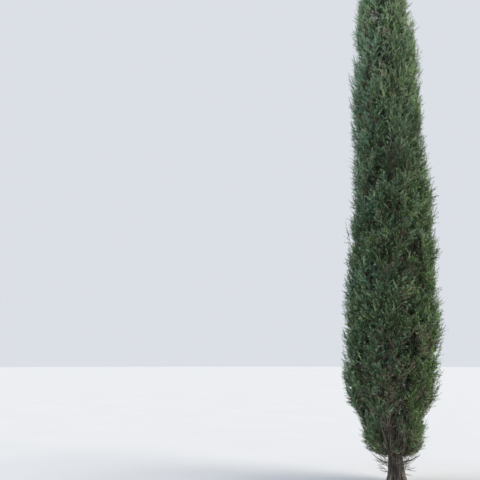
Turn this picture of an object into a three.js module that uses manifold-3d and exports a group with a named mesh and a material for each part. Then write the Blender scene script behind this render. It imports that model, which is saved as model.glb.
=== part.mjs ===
// A columnar juniper, 8 m tall, rooted in the ground: one slightly leaning trunk with a root flare,
// steep boughs that leave it all the way up, and masses of scale-leaved sprays packed round them
// into a narrow column with a wispy pointed top. Millimetres, +Z up. The origin is the centre of
// the flat cut under the trunk, and -Y is the side that is seen from the front.

import * as THREE from "three";
import { mergeVertices } from "three/addons/utils/BufferGeometryUtils.js";
import Module from "manifold-3d";

const wasm = await Module();
wasm.setup();

// Trunk
const TREE_HEIGHT = 8000;
const TRUNK_TOP = 6950;
const TRUNK_RADIUS = 89;
const TRUNK_TOP_RADIUS = 11;
const TAPER_POWER = 0.85;
const FLARE = 37; // extra radius at the ground
const FLARE_HEIGHT = 120;
const FLARE_LOBES = 5;
const LOBE_DEPTH = 0.35; // of the flare
const FLUTE = 0.045; // share by which the lobes run on up the trunk
const TRUNK_SIDES = 15;
const TRUNK_STEPS = 16;
const RING_CROWDING = 1.7; // above 1, rings lie closer near the ground

// Lean: the axis drifts to +X up to LEAN_HEIGHT, swings a little to -X below SWAY_TOP and bows towards -Y
const LEAN = 125;
const LEAN_HEIGHT = 5200;
const SWAY = 30;
const SWAY_TOP = 2100;
const BOW = 35;

// Crown outline: [height, radius to the furthest tips]
const CROWN = [
  [340, 310],
  [480, 430],
  [820, 455],
  [1000, 610],
  [1300, 660],
  [2100, 685],
  [2900, 645],
  [3500, 620],
  [4300, 550],
  [5700, 510],
  [6400, 465],
  [6800, 405],
  [7250, 290],
  [7700, 150],
  [TREE_HEIGHT, 45],
];

// Masses: the crown's skin is shared out into levels and sectors, divided by planes that rise outwards
const SECTORS = 5;
const FIRST_SECTOR = THREE.MathUtils.degToRad(-59);
const SECTOR_STEP = (2 * Math.PI) / SECTORS;
const TWIST = THREE.MathUtils.degToRad(84); // by which the sectors wind round from foot to tip
const LEVELS = 7;
const SKIRT_FOOT = 375; // height of the lowest foliage, at the crown's skin
const SKIRT_TOP = 900;
const SPIRE_FOOT = 6850; // where the last level ends at the skin and the spire takes over
const STEEPEST = 2.2; // rise over run of the uppermost dividing planes
const STEEPENING = 1.2; // levels over which they approach it
const FLATTEST = 0.1; // levels below the first that its own slope is worked out from
const STAGGER = 0.42; // how far the sectors' levels are shifted, in levels
const SKIRT_STAGGER = 0.12;
const SPIRE_STAGGER = 0.2;
const CELL_MARGIN = 7; // what each mass keeps clear of its own space's sides
const SIDE_SLOPE = Math.tan(SECTOR_STEP / 2);

// Boughs and stems: shares of the crown's radius, and of the way up through the space
const BOUGH_LEVELS = [1, 4]; // first and last level with boughs of their own; other stems sit on the trunk
const BOUGH_FOOT = 170; // height on the trunk's axis over the foot of its space
const SKIRT_STEM_FOOT = 35;
const BOUGH_TIP = { out: 0.42, up: 0.09 };
const BOUGH_BEND = 0.62; // share of its way outwards that a bough runs before it turns up
const STEM_TIP = { out: 0.62, up: 0.8 };
const STEM_DRIFT = 0.04; // most that a stem's tip strays from that share of the radius
const STEM_FOLLOW = 0.4; // share of its length over which a stem keeps its bough's direction
const BOUGH_RADIUS = 25; // at the trunk, on the lowest boughs
const BOUGH_THINNING = 0.55; // share of that left on the highest
const BOUGH_TIP_SHARE = 0.5;
const STEM_TIP_RADIUS = 4;
const BOUGH_SIDES = 6;
const BOUGH_STEPS = 3;
const STEM_SIDES = 4;
const STEM_STEPS = 2;
const STRAY = 0.25; // most that a bough strays from its sector's middle, as a share of the half width
const SEAT_GAP = 0.3;
const CORE_GAP = 9;

// Cores: what foliage fills right through, as shares of the space
const CORE_SIDES = 6;
const CORE_BANDS = 6;
const CORE_MIDDLE = [0.46, 0.62]; // of the crown's radius, at its foot and at its head
const CORE_DEPTH = 0.26; // half of it, of the crown's radius
const CORE_WIDTH = 0.85; // of the space's width
const CORE_RISE = [0.11, 0.96];
const CORE_WAIST = 0.42; // where along its length a core is widest
const CORE_SHAPE = { foot: 2.4, head: 1.7 }; // the larger, the blunter
const CORE_LUMPS = { depth: 0.14, round: 3, along: 9, shift: 3 };
const SKIRT_CORE = 0.6; // how much smaller the lowest ones are

// Sprays: flat three-pointed blades, each standing for a whole spray of foliage
const SPRAY_LENGTH = [200, 400];
const SPRAY_WIDTH = 0.62;
const SPRAY_THICKNESS = 0.035;
const SPRAY_MIDDLE = 0.42;
const SPRAY_OUTLINE = [
  [0, 0],
  [0.58, 0.24],
  [0.53, 0.08],
  [1, 0],
  [0.68, -0.07],
  [0.8, -0.2],
];
const SPRAYS_PER_MASS = 9;
const SKIRT_SPRAYS = 6;
const TWIGS_PER_MASS = 1;
const SPRAY_STRETCH = [0.06, 0.98]; // of a core's length that sprays stand on
const SPRAY_ARC = THREE.MathUtils.degToRad(118); // how far round from the outside they stand
const SPRAY_FAN = 0.45; // how much a spray follows its side of the core, against the rise of its space
const SPRAY_TWIST = THREE.MathUtils.degToRad(60);
const RETRY = { times: 4, twist: 0.4, shrink: 0.13 }; // what changes each time a spray doesn't fit
const SIGHTING_STEP = 4; // how finely the free way in front of a spray is felt out
const ROOT_DEPTH = 0.8; // share of the way to the core's skin at which roots are sunk
const PLASTIC = 1.324718; // steps of its inverse powers spread points evenly over an area

// Twigs: some sprays are carried further out, with others at their sides
const TWIG_RADIUS = 5;
const TWIG_LENGTH = 170; // beyond the core, and half as much within it
const TWIG_SIDES = 3;
const TWIG_ROOT = 18; // how deep sprays are sunk in a twig's length
const TWIG_SPRAYS = [
  { place: 1, turn: 0, length: 220 },
  { place: 0.55, turn: 0.6, length: 185 },
  { place: 0.75, turn: -0.6, length: 160 },
];

// Dead twigs: bare forked remains of lower boughs
const DEAD_TWIGS = [
  { angle: THREE.MathUtils.degToRad(-148), height: 205 },
  { angle: THREE.MathUtils.degToRad(-28), height: 225 },
  { angle: THREE.MathUtils.degToRad(84), height: 190 },
];
const DEAD_TWIG = { span: 285, rise: 105, radius: 10, tipRadius: 3, sides: 5, steps: 3 };
const DEAD_FORKS = [
  { place: 0.45, turn: 0.7, length: 120 },
  { place: 0.68, turn: -0.8, length: 95 },
];

// Spire: the mass round the end of the trunk
const SPIRE_SPRAYS = 20;
const SPIRE_CORE = { width: 0.62, top: 7720, foot: 60 };
const SPIRE_FAN = 0.24;
const LEADER_LENGTH = 360;
const LEADERS = [
  { height: TREE_HEIGHT, tilt: 0 },
  { height: TREE_HEIGHT - 95, tilt: 0.16 },
  { height: TREE_HEIGHT - 170, tilt: -0.2 },
];

const BARK = new THREE.MeshStandardMaterial({ color: 0x62554b, roughness: 0.95, metalness: 0 });
const FOLIAGE = new THREE.MeshStandardMaterial({ color: 0x4c5f48, roughness: 0.8, metalness: 0 });

const UP = new THREE.Vector3(0, 0, 1);

// A number from -1 to 1 that looks random but is always the same for the same three inputs.
function scatter(level, sector, salt) {
  const wave = Math.sin(level * 12.9898 + sector * 78.233 + salt * 37.719) * 43758.5453;
  return 2 * (wave - Math.floor(wave)) - 1;
}

function smoothstep(share) {
  const t = THREE.MathUtils.clamp(share, 0, 1);
  return t * t * (3 - 2 * t);
}

// The point of the tree's own axis at a height.
function axisAt(height) {
  const sway = SWAY * Math.sin(Math.PI * THREE.MathUtils.clamp(height / SWAY_TOP, 0, 1)) ** 2;
  return new THREE.Vector3(
    LEAN * smoothstep(height / LEAN_HEIGHT) - sway,
    -BOW * Math.sin((Math.PI * height) / TREE_HEIGHT),
    height,
  );
}

// Radius of the crown to its furthest tips, straight between the named outline points.
function crownRadius(height) {
  const above = CROWN.findIndex(([z]) => z > height);
  if (above === 0) return CROWN[0][1];
  if (above < 0) return CROWN[CROWN.length - 1][1];
  const [z0, r0] = CROWN[above - 1];
  const [z1, r1] = CROWN[above];
  return THREE.MathUtils.mapLinear(height, z0, z1, r0, r1);
}

// Mean trunk radius: a taper with the root flare added.
function trunkRadius(height) {
  const left = Math.max(0, 1 - height / TRUNK_TOP);
  const taper = TRUNK_TOP_RADIUS + (TRUNK_RADIUS - TRUNK_TOP_RADIUS) * left ** TAPER_POWER;
  return taper + FLARE * Math.exp(-height / FLARE_HEIGHT);
}

// Trunk radius towards one side: lobes that are deepest in the flare.
function trunkSkin(height, angle) {
  const lobe = Math.cos(FLARE_LOBES * angle + height / TREE_HEIGHT);
  const depth = FLUTE * trunkRadius(height) + LOBE_DEPTH * FLARE * Math.exp(-height / FLARE_HEIGHT);
  return trunkRadius(height) + depth * lobe;
}

// Turns a closed three.js geometry into a solid, keeping only its positions.
function solid(geometry) {
  geometry.deleteAttribute("normal");
  geometry.deleteAttribute("uv");
  const merged = mergeVertices(geometry, 1e-3);
  return new wasm.Manifold(
    new wasm.Mesh({
      numProp: 3,
      vertProperties: new Float32Array(merged.attributes.position.array),
      triVerts: new Uint32Array(merged.index.array),
    }),
  );
}

// Moves every vertex of a geometry to the point that a function gives for it.
function remapped(geometry, place) {
  const position = geometry.getAttribute("position");
  for (let i = 0; i < position.count; i++) {
    const moved = place(new THREE.Vector3().fromBufferAttribute(position, i));
    position.setXYZ(i, moved.x, moved.y, moved.z);
  }
  return geometry;
}

// A unit cylinder that stands on the XY plane, one unit tall.
function standingCylinder(sides, steps) {
  return new THREE.CylinderGeometry(1, 1, 1, sides, steps).rotateX(Math.PI / 2).translate(0, 0, 0.5);
}

// Two directions square to a tangent, so that across, over and tangent are right-handed.
function framed(tangent, sideways) {
  const across = sideways.clone().addScaledVector(tangent, -sideways.dot(tangent)).normalize();
  return { across, over: new THREE.Vector3().crossVectors(tangent, across) };
}

// A limb along a curve, with a radius for each share of its length and flat ends.
function limb(curve, radiusAt, sideways, sides, steps) {
  return remapped(standingCylinder(sides, steps), ({ x, y, z }) => {
    const share = THREE.MathUtils.clamp(z, 0, 1);
    const { across, over } = framed(curve.getTangent(share), sideways);
    const radius = radiusAt(share);
    return curve.getPoint(share).addScaledVector(across, radius * x).addScaledVector(over, radius * y);
  });
}

// The trunk, with the given clearance added all over where it is used as a cutter.
function trunk(clearance = 0) {
  return remapped(standingCylinder(TRUNK_SIDES, TRUNK_STEPS), ({ x, y, z }) => {
    const share = THREE.MathUtils.clamp(z, 0, 1) ** RING_CROWDING;
    const height = TRUNK_TOP * share;
    const rim = Math.hypot(x, y);
    const radius = trunkSkin(height, Math.atan2(y, x)) + clearance;
    const point = axisAt(height).add(new THREE.Vector3(x, y, 0).multiplyScalar(rim > 0 ? radius : 0));
    if (share === 1) point.z += clearance;
    return point;
  });
}

// How far the sectors' parts of one divider are shifted against each other, in levels.
function staggerOf(level) {
  if (level === 0) return 0;
  if (level === 1) return SKIRT_STAGGER;
  return level < LEVELS ? STAGGER : SPIRE_STAGGER;
}

// Height and slope of the plane under a level, in one sector. Level LEVELS gives the one under the spire.
function divider(level, sector) {
  const shift = ((2 * sector) % SECTORS) / SECTORS - (SECTORS - 1) / (2 * SECTORS);
  const pitch = (SPIRE_FOOT - SKIRT_TOP) / (LEVELS - 1);
  const even = level === 0 ? SKIRT_FOOT : SKIRT_TOP + pitch * (level - 1);
  const skinHeight = even + pitch * staggerOf(level) * 2 * shift;
  const slope = STEEPEST * (1 - Math.exp(-(level + FLATTEST) / STEEPENING));
  return { slope, foot: skinHeight - slope * crownRadius(skinHeight) };
}

// The space of one mass: its level and sector, and the planes under and over it.
function spaceOf(level, sector) {
  const over = level < LEVELS ? divider(level + 1, sector) : null;
  return { level, sector, under: divider(level, sector), over };
}

// The directions out through the middle of a sector and across it, at a height.
function sectorAt(sector, height) {
  const angle = FIRST_SECTOR + SECTOR_STEP * sector + (TWIST * height) / TREE_HEIGHT;
  return {
    outwards: new THREE.Vector3(Math.cos(angle), Math.sin(angle), 0),
    across: new THREE.Vector3(-Math.sin(angle), Math.cos(angle), 0),
  };
}

const SPACES = Array.from({ length: LEVELS * SECTORS }, (_, i) =>
  spaceOf(Math.floor(i / SECTORS), i % SECTORS),
);
const SPIRE_SPACES = Array.from({ length: SECTORS }, (_, sector) => spaceOf(LEVELS, sector));

// True if a point lies in one sector's space, clear of its sides and inside the crown's outline.
function inSpace(space, point) {
  const flat = point.clone().sub(axisAt(point.z)).setZ(0);
  const { outwards, across } = sectorAt(space.sector, point.z);
  const out = flat.dot(outwards);
  const side = Math.abs(flat.dot(across));
  const height = (edge) => edge.foot + edge.slope * out;
  const tilt = (edge) => CELL_MARGIN * Math.hypot(1, edge.slope);
  if (flat.length() > crownRadius(point.z)) return false;
  if (space.over && side > SIDE_SLOPE * out - CELL_MARGIN * Math.hypot(1, SIDE_SLOPE)) return false;
  if (point.z < height(space.under) + tilt(space.under)) return false;
  return !space.over || point.z < height(space.over) - tilt(space.over);
}

// True if a point lies in the spire's space, over the last level of whichever sector it is in.
function inSpire(point) {
  const flat = point.clone().sub(axisAt(point.z)).setZ(0);
  const near = SPIRE_SPACES.filter(({ sector }) => {
    const { outwards, across } = sectorAt(sector, point.z);
    return Math.abs(flat.dot(across)) <= SIDE_SLOPE * flat.dot(outwards) + 4 * CELL_MARGIN;
  });
  return near.every((space) => inSpace(space, point));
}

// How far a ray runs from a point before it leaves a space.
function reach(inside, point, direction, most) {
  let length = 0;
  const isFree = (far) => inside(point.clone().addScaledVector(direction, far));
  while (length < most && isFree(length + SIGHTING_STEP)) length += SIGHTING_STEP;
  return length;
}

// A point of a space, from its share of the crown's radius, of the half width (-1 to 1) and of the rise.
function pointIn(space, outShare, sideShare, upShare) {
  const turn = (SECTOR_STEP / 2) * sideShare;
  let height = space.over.foot;
  let radius = 0;
  for (let pass = 0; pass < 8; pass++) {
    radius = outShare * crownRadius(height);
    const out = radius * Math.cos(turn);
    const low = space.under.foot + space.under.slope * out;
    const high = space.over.foot + space.over.slope * out;
    height = THREE.MathUtils.lerp(low, high, upShare);
  }
  const { outwards, across } = sectorAt(space.sector, height);
  return axisAt(height)
    .addScaledVector(outwards, radius * Math.cos(turn))
    .addScaledVector(across, radius * Math.sin(turn));
}

// A curve that leaves its start outwards and comes round to rise towards its end.
function risingCurve(start, end, outFirst) {
  const bend = new THREE.Vector3(
    THREE.MathUtils.lerp(start.x, end.x, outFirst),
    THREE.MathUtils.lerp(start.y, end.y, outFirst),
    THREE.MathUtils.lerp(start.z, end.z, 1 - outFirst),
  );
  return new THREE.QuadraticBezierCurve3(start, bend, end);
}

// The limbs of one space: a bough from the trunk's axis to its tip and a stem from there on, or one
// stem all the way from the trunk's axis.
function limbsOf(space) {
  const { level, sector } = space;
  const stray = STRAY * scatter(level, sector, 1);
  const foot = space.under.foot + (level > 0 ? BOUGH_FOOT : SKIRT_STEM_FOOT);
  const tip = pointIn(space, BOUGH_TIP.out, stray, BOUGH_TIP.up);
  const end = pointIn(space, STEM_TIP.out + STEM_DRIFT * scatter(level, sector, 2), -stray, STEM_TIP.up);
  const radius = BOUGH_RADIUS * THREE.MathUtils.lerp(1, BOUGH_THINNING, level / (LEVELS - 1));
  const bough = risingCurve(axisAt(foot), tip, BOUGH_BEND);
  const leave = bough.getTangent(1);
  const start = tip.clone().addScaledVector(leave, SEAT_GAP);
  const along = start.distanceTo(end) * STEM_FOLLOW;
  const stem = new THREE.QuadraticBezierCurve3(start, start.clone().addScaledVector(leave, along), end);
  if (level >= BOUGH_LEVELS[0] && level <= BOUGH_LEVELS[1]) return { bough, stem, radius };
  return { stem: new THREE.CatmullRomCurve3([bough.v0, bough.getPoint(0.5), tip, end]), radius };
}

const thinning = (thick, thin) => (share) => THREE.MathUtils.lerp(thick, thin, share);

// Girth of a core at a share of its length, as a share of its greatest: round at its foot and
// pointed at its head.
function girth(share) {
  const along = THREE.MathUtils.clamp(share, 0, 1);
  if (along > CORE_WAIST) return 1 - ((along - CORE_WAIST) / (1 - CORE_WAIST)) ** CORE_SHAPE.head;
  return (1 - (1 - along / CORE_WAIST) ** CORE_SHAPE.foot) ** (1 / CORE_SHAPE.foot);
}

// Swells and hollows in a core's skin.
function lump(share, angle, salt) {
  const { depth, round, along, shift } = CORE_LUMPS;
  return 1 + depth * Math.sin(round * angle + along * share + shift * salt);
}

// A point of a mass's core, by the share of its length and the angle round it (0 is outwards).
function coreSkin(space) {
  const size = space.level === 0 ? SKIRT_CORE : 1;
  const salt = scatter(space.level, space.sector, 3);
  return (share, angle, depth = 1) => {
    const middle = THREE.MathUtils.lerp(...CORE_MIDDLE, share);
    const wide = size * depth * girth(share);
    return pointIn(
      space,
      middle + CORE_DEPTH * wide * lump(share, angle, salt) * Math.cos(angle),
      CORE_WIDTH * wide * Math.sin(angle),
      0.5 + size * (THREE.MathUtils.lerp(...CORE_RISE, share) - 0.5),
    );
  };
}

// The same for the spire's core, which stands round the tree's own axis.
function spireSkin() {
  const edge = SPIRE_SPACES.map(({ under }) => under).sort((a, b) => b.foot - a.foot)[0];
  const foot = edge.foot + SPIRE_CORE.foot;
  return (share, angle, depth = 1) => {
    const height = THREE.MathUtils.lerp(foot, SPIRE_CORE.top, share);
    const full = SPIRE_CORE.width * crownRadius(height) * girth(share) * lump(share, angle, LEVELS);
    const radius = depth * Math.min(full, (height - edge.foot) / edge.slope - 2 * CELL_MARGIN);
    return axisAt(height).add(new THREE.Vector3(Math.cos(angle), Math.sin(angle), 0).multiplyScalar(radius));
  };
}

// A closed core with the given skin.
function core(skin) {
  const ball = new THREE.SphereGeometry(1, CORE_SIDES, CORE_BANDS).rotateX(Math.PI / 2);
  return remapped(ball, ({ x, y, z }) => {
    const share = 1 - Math.acos(THREE.MathUtils.clamp(z, -1, 1)) / Math.PI;
    return skin(share, Math.atan2(y, x));
  });
}

// A flat three-pointed blade from a root along a direction, thickest in its middle.
function blade(root, along, across, length) {
  const face = new THREE.Vector3().crossVectors(along, across);
  const place = (x, y, z) =>
    root
      .clone()
      .addScaledVector(along, x * length)
      .addScaledVector(across, y * length * SPRAY_WIDTH * 2)
      .addScaledVector(face, z * length);
  const rim = SPRAY_OUTLINE.map(([x, y]) => place(x, y, 0));
  const points = [...rim, place(SPRAY_MIDDLE, 0, SPRAY_THICKNESS), place(SPRAY_MIDDLE, 0, -SPRAY_THICKNESS)];
  const front = rim.length;
  const faces = rim.flatMap((_, i) => {
    const next = (i + 1) % rim.length;
    return [front, next, i, front + 1, i, next];
  });
  const geometry = new THREE.BufferGeometry().setFromPoints(points);
  geometry.setIndex(faces);
  return { geometry, points };
}

// A straight twig from one point to another.
function twig(from, to, radius, tipRadius) {
  const curve = new THREE.LineCurve3(from, to);
  const sideways = new THREE.Vector3().crossVectors(curve.getTangent(0), UP).normalize();
  return solid(limb(curve, thinning(radius, tipRadius), sideways, TWIG_SIDES, 1));
}

// True if every one of some points lies in its space and clear of the trunk and of the mass's own bough.
function fits(points, inside, limbs) {
  return points.every((point) => {
    const flat = point.clone().sub(axisAt(point.z)).setZ(0);
    if (point.z < TRUNK_TOP + CORE_GAP && flat.length() < trunkRadius(point.z) * (1 + FLUTE) + 2 * CORE_GAP)
      return false;
    const nearBough = limbs.some((p) => p.distanceTo(point) < BOUGH_RADIUS + 2 * CORE_GAP);
    return inside(point) && !nearBough;
  });
}

// One spray, or null where it would leave its space: it is tried shorter and turned further first.
function spray(root, along, length, inside, limbs, salt) {
  const outwards = root.clone().sub(axisAt(root.z)).setZ(0).normalize();
  const flat = new THREE.Vector3().crossVectors(outwards, along).normalize();
  for (let attempt = 0; attempt < RETRY.times; attempt++) {
    const turn = SPRAY_TWIST * (1 + RETRY.twist * attempt) * scatter(salt, attempt, 11);
    const across = flat.clone().applyAxisAngle(along, turn);
    const made = blade(root, along, across, length * (1 - RETRY.shrink * attempt));
    if (fits(made.points.slice(1), inside, limbs)) return solid(made.geometry);
  }
  return null;
}

// A twig that carries sprays at its end and its sides, or none of them where the end one doesn't fit.
function loadedTwig(root, along, way, inside, limbs, salt) {
  const from = root.clone().addScaledVector(along, -TWIG_LENGTH / 2);
  const to = root.clone().addScaledVector(along, TWIG_LENGTH);
  const { across } = framed(along, way);
  const sprays = TWIG_SPRAYS.map(({ place, turn, length }) => {
    const foot = from.clone().lerp(to, place).addScaledVector(along, -TWIG_ROOT);
    return spray(foot, along.clone().addScaledVector(across, turn).normalize(), length, inside, limbs, salt);
  });
  if (!sprays[0]) return [];
  return [twig(from, to, TWIG_RADIUS, TWIG_RADIUS / 2), ...sprays.filter((made) => made)];
}

// The sprays that stand out of one core, spread evenly over its outer side. The first few that have
// room are carried on by a twig.
function spraysOf({ skin, inside, limbs, count, twigs, arc, slope, fan, salt }) {
  const grown = [];
  for (let n = 0, carried = 0, tried = 1; n < count && tried < 4 * count; tried++) {
    const seed = tried + salt * count;
    const share = THREE.MathUtils.lerp(...SPRAY_STRETCH, (seed / PLASTIC) % 1);
    const angle = arc * (2 * ((seed / PLASTIC ** 2) % 1) - 1);
    const root = skin(share, angle, ROOT_DEPTH);
    const way = skin(share, angle).sub(skin(share, angle, 0)).normalize();
    const outwards = root.clone().sub(axisAt(root.z)).setZ(0).normalize();
    const along = outwards.addScaledVector(UP, slope).normalize().addScaledVector(way, fan).normalize();
    const free = reach(inside, root, along, SPRAY_LENGTH[1] + TWIG_LENGTH);
    const hasTwig = carried < twigs && free >= SPRAY_LENGTH[0] + TWIG_LENGTH;
    if (hasTwig) {
      const made = loadedTwig(root, along, way, inside, limbs, seed);
      grown.push(...made);
      carried += made.length > 0 ? 1 : 0;
      n += made.length > 0 ? 1 : 0;
    } else if (free > SPRAY_LENGTH[0]) {
      const length = THREE.MathUtils.clamp(free, ...SPRAY_LENGTH);
      const made = spray(root, along, length, inside, limbs, seed);
      if (made) grown.push(made);
      n += made ? 1 : 0;
    }
  }
  return grown;
}

// Joins a stem, its core and its sprays, and keeps the one body that holds the stem.
function joined(pieces) {
  const whole = wasm.Manifold.union(pieces);
  return whole.decompose().sort((a, b) => b.volume() - a.volume())[0];
}

// A named mesh of a finished solid.
function mesh(name, made, material) {
  const { vertProperties, triVerts } = made.getMesh();
  const geometry = new THREE.BufferGeometry()
    .setAttribute("position", new THREE.BufferAttribute(vertProperties, 3))
    .setIndex(new THREE.BufferAttribute(triVerts, 1));
  const named = new THREE.Mesh(geometry, material);
  named.name = name;
  return named;
}

const seatCutter = solid(trunk(SEAT_GAP));
const coreCutter = solid(trunk(CORE_GAP));

// The bough and the mass of foliage of one space.
function branch(space) {
  const { level, sector } = space;
  const { bough, stem, radius } = limbsOf(space);
  const side = sectorAt(sector, stem.getPoint(0).z).across;
  const label = `${level}_${sector}`;
  const meshes = [];
  const tipRadius = radius * BOUGH_TIP_SHARE;
  const steps = bough ? STEM_STEPS : 2 * STEM_STEPS;
  const stemShape = solid(limb(stem, thinning(tipRadius, STEM_TIP_RADIUS), side, STEM_SIDES, steps));
  const skin = coreSkin(space);
  const pieces = [stemShape.subtract(seatCutter), solid(core(skin)).subtract(coreCutter)];
  if (bough) {
    const whole = solid(limb(bough, thinning(radius, tipRadius), side, BOUGH_SIDES, BOUGH_STEPS));
    meshes.push(mesh(`bough_${label}`, joined([whole.subtract(seatCutter)]), BARK));
    const sleeve = thinning(radius + CORE_GAP, tipRadius + CORE_GAP);
    pieces[1] = pieces[1].subtract(solid(limb(bough, sleeve, side, BOUGH_SIDES, BOUGH_STEPS)));
  }
  pieces.push(
    ...spraysOf({
      skin,
      inside: (point) => inSpace(space, point),
      limbs: bough ? bough.getPoints(8) : [],
      count: level === 0 ? SKIRT_SPRAYS : SPRAYS_PER_MASS,
      twigs: TWIGS_PER_MASS,
      arc: SPRAY_ARC,
      slope: (space.under.slope + space.over.slope) / 2,
      fan: SPRAY_FAN,
      salt: level * SECTORS + sector,
    }),
  );
  meshes.push(mesh(`foliage_${label}`, joined(pieces), FOLIAGE));
  return meshes;
}

// The mass round the end of the trunk, which ends in the leader's tip.
function spire() {
  const side = new THREE.Vector3(1, 0, 0);
  const stem = new THREE.LineCurve3(axisAt(TRUNK_TOP + SEAT_GAP), axisAt(TREE_HEIGHT - SPRAY_LENGTH[0]));
  const skin = spireSkin();
  const inside = (point) => point.z < TREE_HEIGHT && inSpire(point);
  const leaders = LEADERS.map(({ height, tilt }) => {
    const along = UP.clone().addScaledVector(side, tilt).normalize();
    const { across } = framed(along, side);
    return solid(blade(axisAt(height - LEADER_LENGTH), along, across, LEADER_LENGTH).geometry);
  });
  const pieces = [
    solid(limb(stem, thinning(TRUNK_TOP_RADIUS, STEM_TIP_RADIUS), side, STEM_SIDES, STEM_STEPS)),
    solid(core(skin)).subtract(coreCutter),
    ...leaders,
    ...spraysOf({
      skin,
      inside,
      limbs: [],
      count: SPIRE_SPRAYS,
      twigs: 0,
      arc: Math.PI,
      slope: 1 / SPIRE_FAN,
      fan: SPIRE_FAN,
      salt: LEVELS * SECTORS,
    }),
  ];
  return mesh("foliage_spire", joined(pieces), FOLIAGE);
}

// A dead twig low on the trunk, with its forks.
function deadTwig({ angle, height }, index) {
  const { span, rise, radius, tipRadius, sides, steps } = DEAD_TWIG;
  const outwards = new THREE.Vector3(Math.cos(angle), Math.sin(angle), 0);
  const side = new THREE.Vector3(-Math.sin(angle), Math.cos(angle), 0);
  const tip = axisAt(height + rise).addScaledVector(outwards, span);
  const curve = risingCurve(axisAt(height), tip, BOUGH_BEND);
  const forks = DEAD_FORKS.map(({ place, turn, length }) => {
    const from = curve.getPoint(place);
    const along = curve.getTangent(place).addScaledVector(side, turn).normalize();
    return twig(from, from.clone().addScaledVector(along, length), tipRadius * 2, tipRadius);
  });
  const main = solid(limb(curve, thinning(radius, tipRadius), side, sides, steps)).subtract(seatCutter);
  return mesh(`dead_twig_${index}`, joined([main, ...forks]), BARK);
}

const tree = new THREE.Group();
tree.add(mesh("trunk", solid(trunk()), BARK));
tree.add(...DEAD_TWIGS.map(deadTwig));
for (const space of SPACES) tree.add(...branch(space));
tree.add(spire());

export default tree;
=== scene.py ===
"""Dresses a columnar juniper, 8 m tall and rooted in the ground, for its renders.

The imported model's boughs and masses are grown again here by the same rule, in metres, and carried to
finer twigs: a fibrous trunk, boughs, shoots that rise to the crown's skin, and sprays of scale leaves.
"""

import logging
import math
from dataclasses import dataclass
from enum import Enum

import bpy
import numpy as np
from bpy.types import Material, Node, NodeSocket, NodeTree, Object, World
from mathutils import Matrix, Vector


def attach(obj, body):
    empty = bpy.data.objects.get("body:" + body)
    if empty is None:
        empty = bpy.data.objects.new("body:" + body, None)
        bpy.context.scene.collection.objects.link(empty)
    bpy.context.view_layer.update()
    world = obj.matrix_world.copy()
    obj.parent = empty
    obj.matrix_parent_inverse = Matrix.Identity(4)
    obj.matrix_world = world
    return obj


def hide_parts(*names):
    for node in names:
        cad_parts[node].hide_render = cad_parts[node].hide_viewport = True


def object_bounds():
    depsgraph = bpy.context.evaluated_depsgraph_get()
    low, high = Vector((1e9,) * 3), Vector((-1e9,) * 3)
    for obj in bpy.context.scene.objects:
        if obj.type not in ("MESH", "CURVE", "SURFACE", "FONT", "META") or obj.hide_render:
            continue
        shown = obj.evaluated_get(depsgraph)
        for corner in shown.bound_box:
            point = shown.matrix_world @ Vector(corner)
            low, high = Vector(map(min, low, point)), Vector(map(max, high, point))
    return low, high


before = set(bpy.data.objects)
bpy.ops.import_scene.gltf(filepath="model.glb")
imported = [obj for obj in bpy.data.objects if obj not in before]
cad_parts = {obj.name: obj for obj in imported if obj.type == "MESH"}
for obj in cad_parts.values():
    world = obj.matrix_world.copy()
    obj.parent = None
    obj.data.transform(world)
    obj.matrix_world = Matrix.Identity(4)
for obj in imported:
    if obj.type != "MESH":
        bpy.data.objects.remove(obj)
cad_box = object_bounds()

log = logging.getLogger("juniper")

Array = np.ndarray
Numbers = Array | float
Random = np.random.Generator
UP = np.array([0.0, 0.0, 1.0])
LEVEL = np.array([1.0, 1.0, 0.0])
ASLANT = np.array([0.31, 0.95, 0.05])  # a direction that hardly any blade runs along
# Each hue comes in a shaded, a plain and a bright copy: painted shade and painted light.
TONES = ("shaded", "plain", "bright")
TINY = 1e-4
GOLDEN_SHARE = 0.618034
PLASTIC = 1.324718  # steps of its inverse powers spread points evenly over an area


class SprayKind(Enum):
    """The kinds of spray: green ones, spent brown ones, and the coarse dark ones of the inside."""

    LIVING = "living"
    SPENT = "spent"
    INNER = "inner"


# Plain sums on arrays


def unit(vectors: Array) -> Array:
    """Vectors divided by their own lengths."""
    return vectors / np.maximum(np.linalg.norm(vectors, axis=-1, keepdims=True), 1e-9)


def square_to(vectors: Array, ways: Array) -> Array:
    """Vectors less their parts along the unit vectors ways, as unit vectors."""
    return unit(vectors - (vectors * ways).sum(-1, keepdims=True) * ways)


def lerp(low: Numbers, high: Numbers, share: Numbers) -> Array:
    """The value that lies at a share of the way from low to high."""
    return low + (high - low) * share


def smoothstep(share: Array) -> Array:
    """An ease from 0 to 1: t squared times (3 - 2t)."""
    t = np.clip(share, 0.0, 1.0)
    return t * t * (3.0 - 2.0 * t)


def round_angles(count: int) -> Array:
    """Angles spaced evenly round a circle."""
    return np.arange(count) * (2 * math.pi / count)


def arms(angle: Array) -> Array:
    """Level directions at angles: their cosine, their sine and nought."""
    return np.stack([np.cos(angle), np.sin(angle), np.zeros_like(angle)], -1)


def turned(first: Array, second: Array, angle: Array) -> Array:
    """Directions turned from one towards another: cosine of the first plus sine of the second."""
    return first * np.cos(angle)[..., None] + second * np.sin(angle)[..., None]


def scatter(level: Array, sector: Array, salt: int) -> Array:
    """The source's fixed scatter from -1 to 1: twice the fraction of a large sine, less 1."""
    wave = np.sin(level * 12.9898 + sector * 78.233 + salt * 37.719) * 43758.5453
    return 2.0 * (wave - np.floor(wave)) - 1.0


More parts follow.
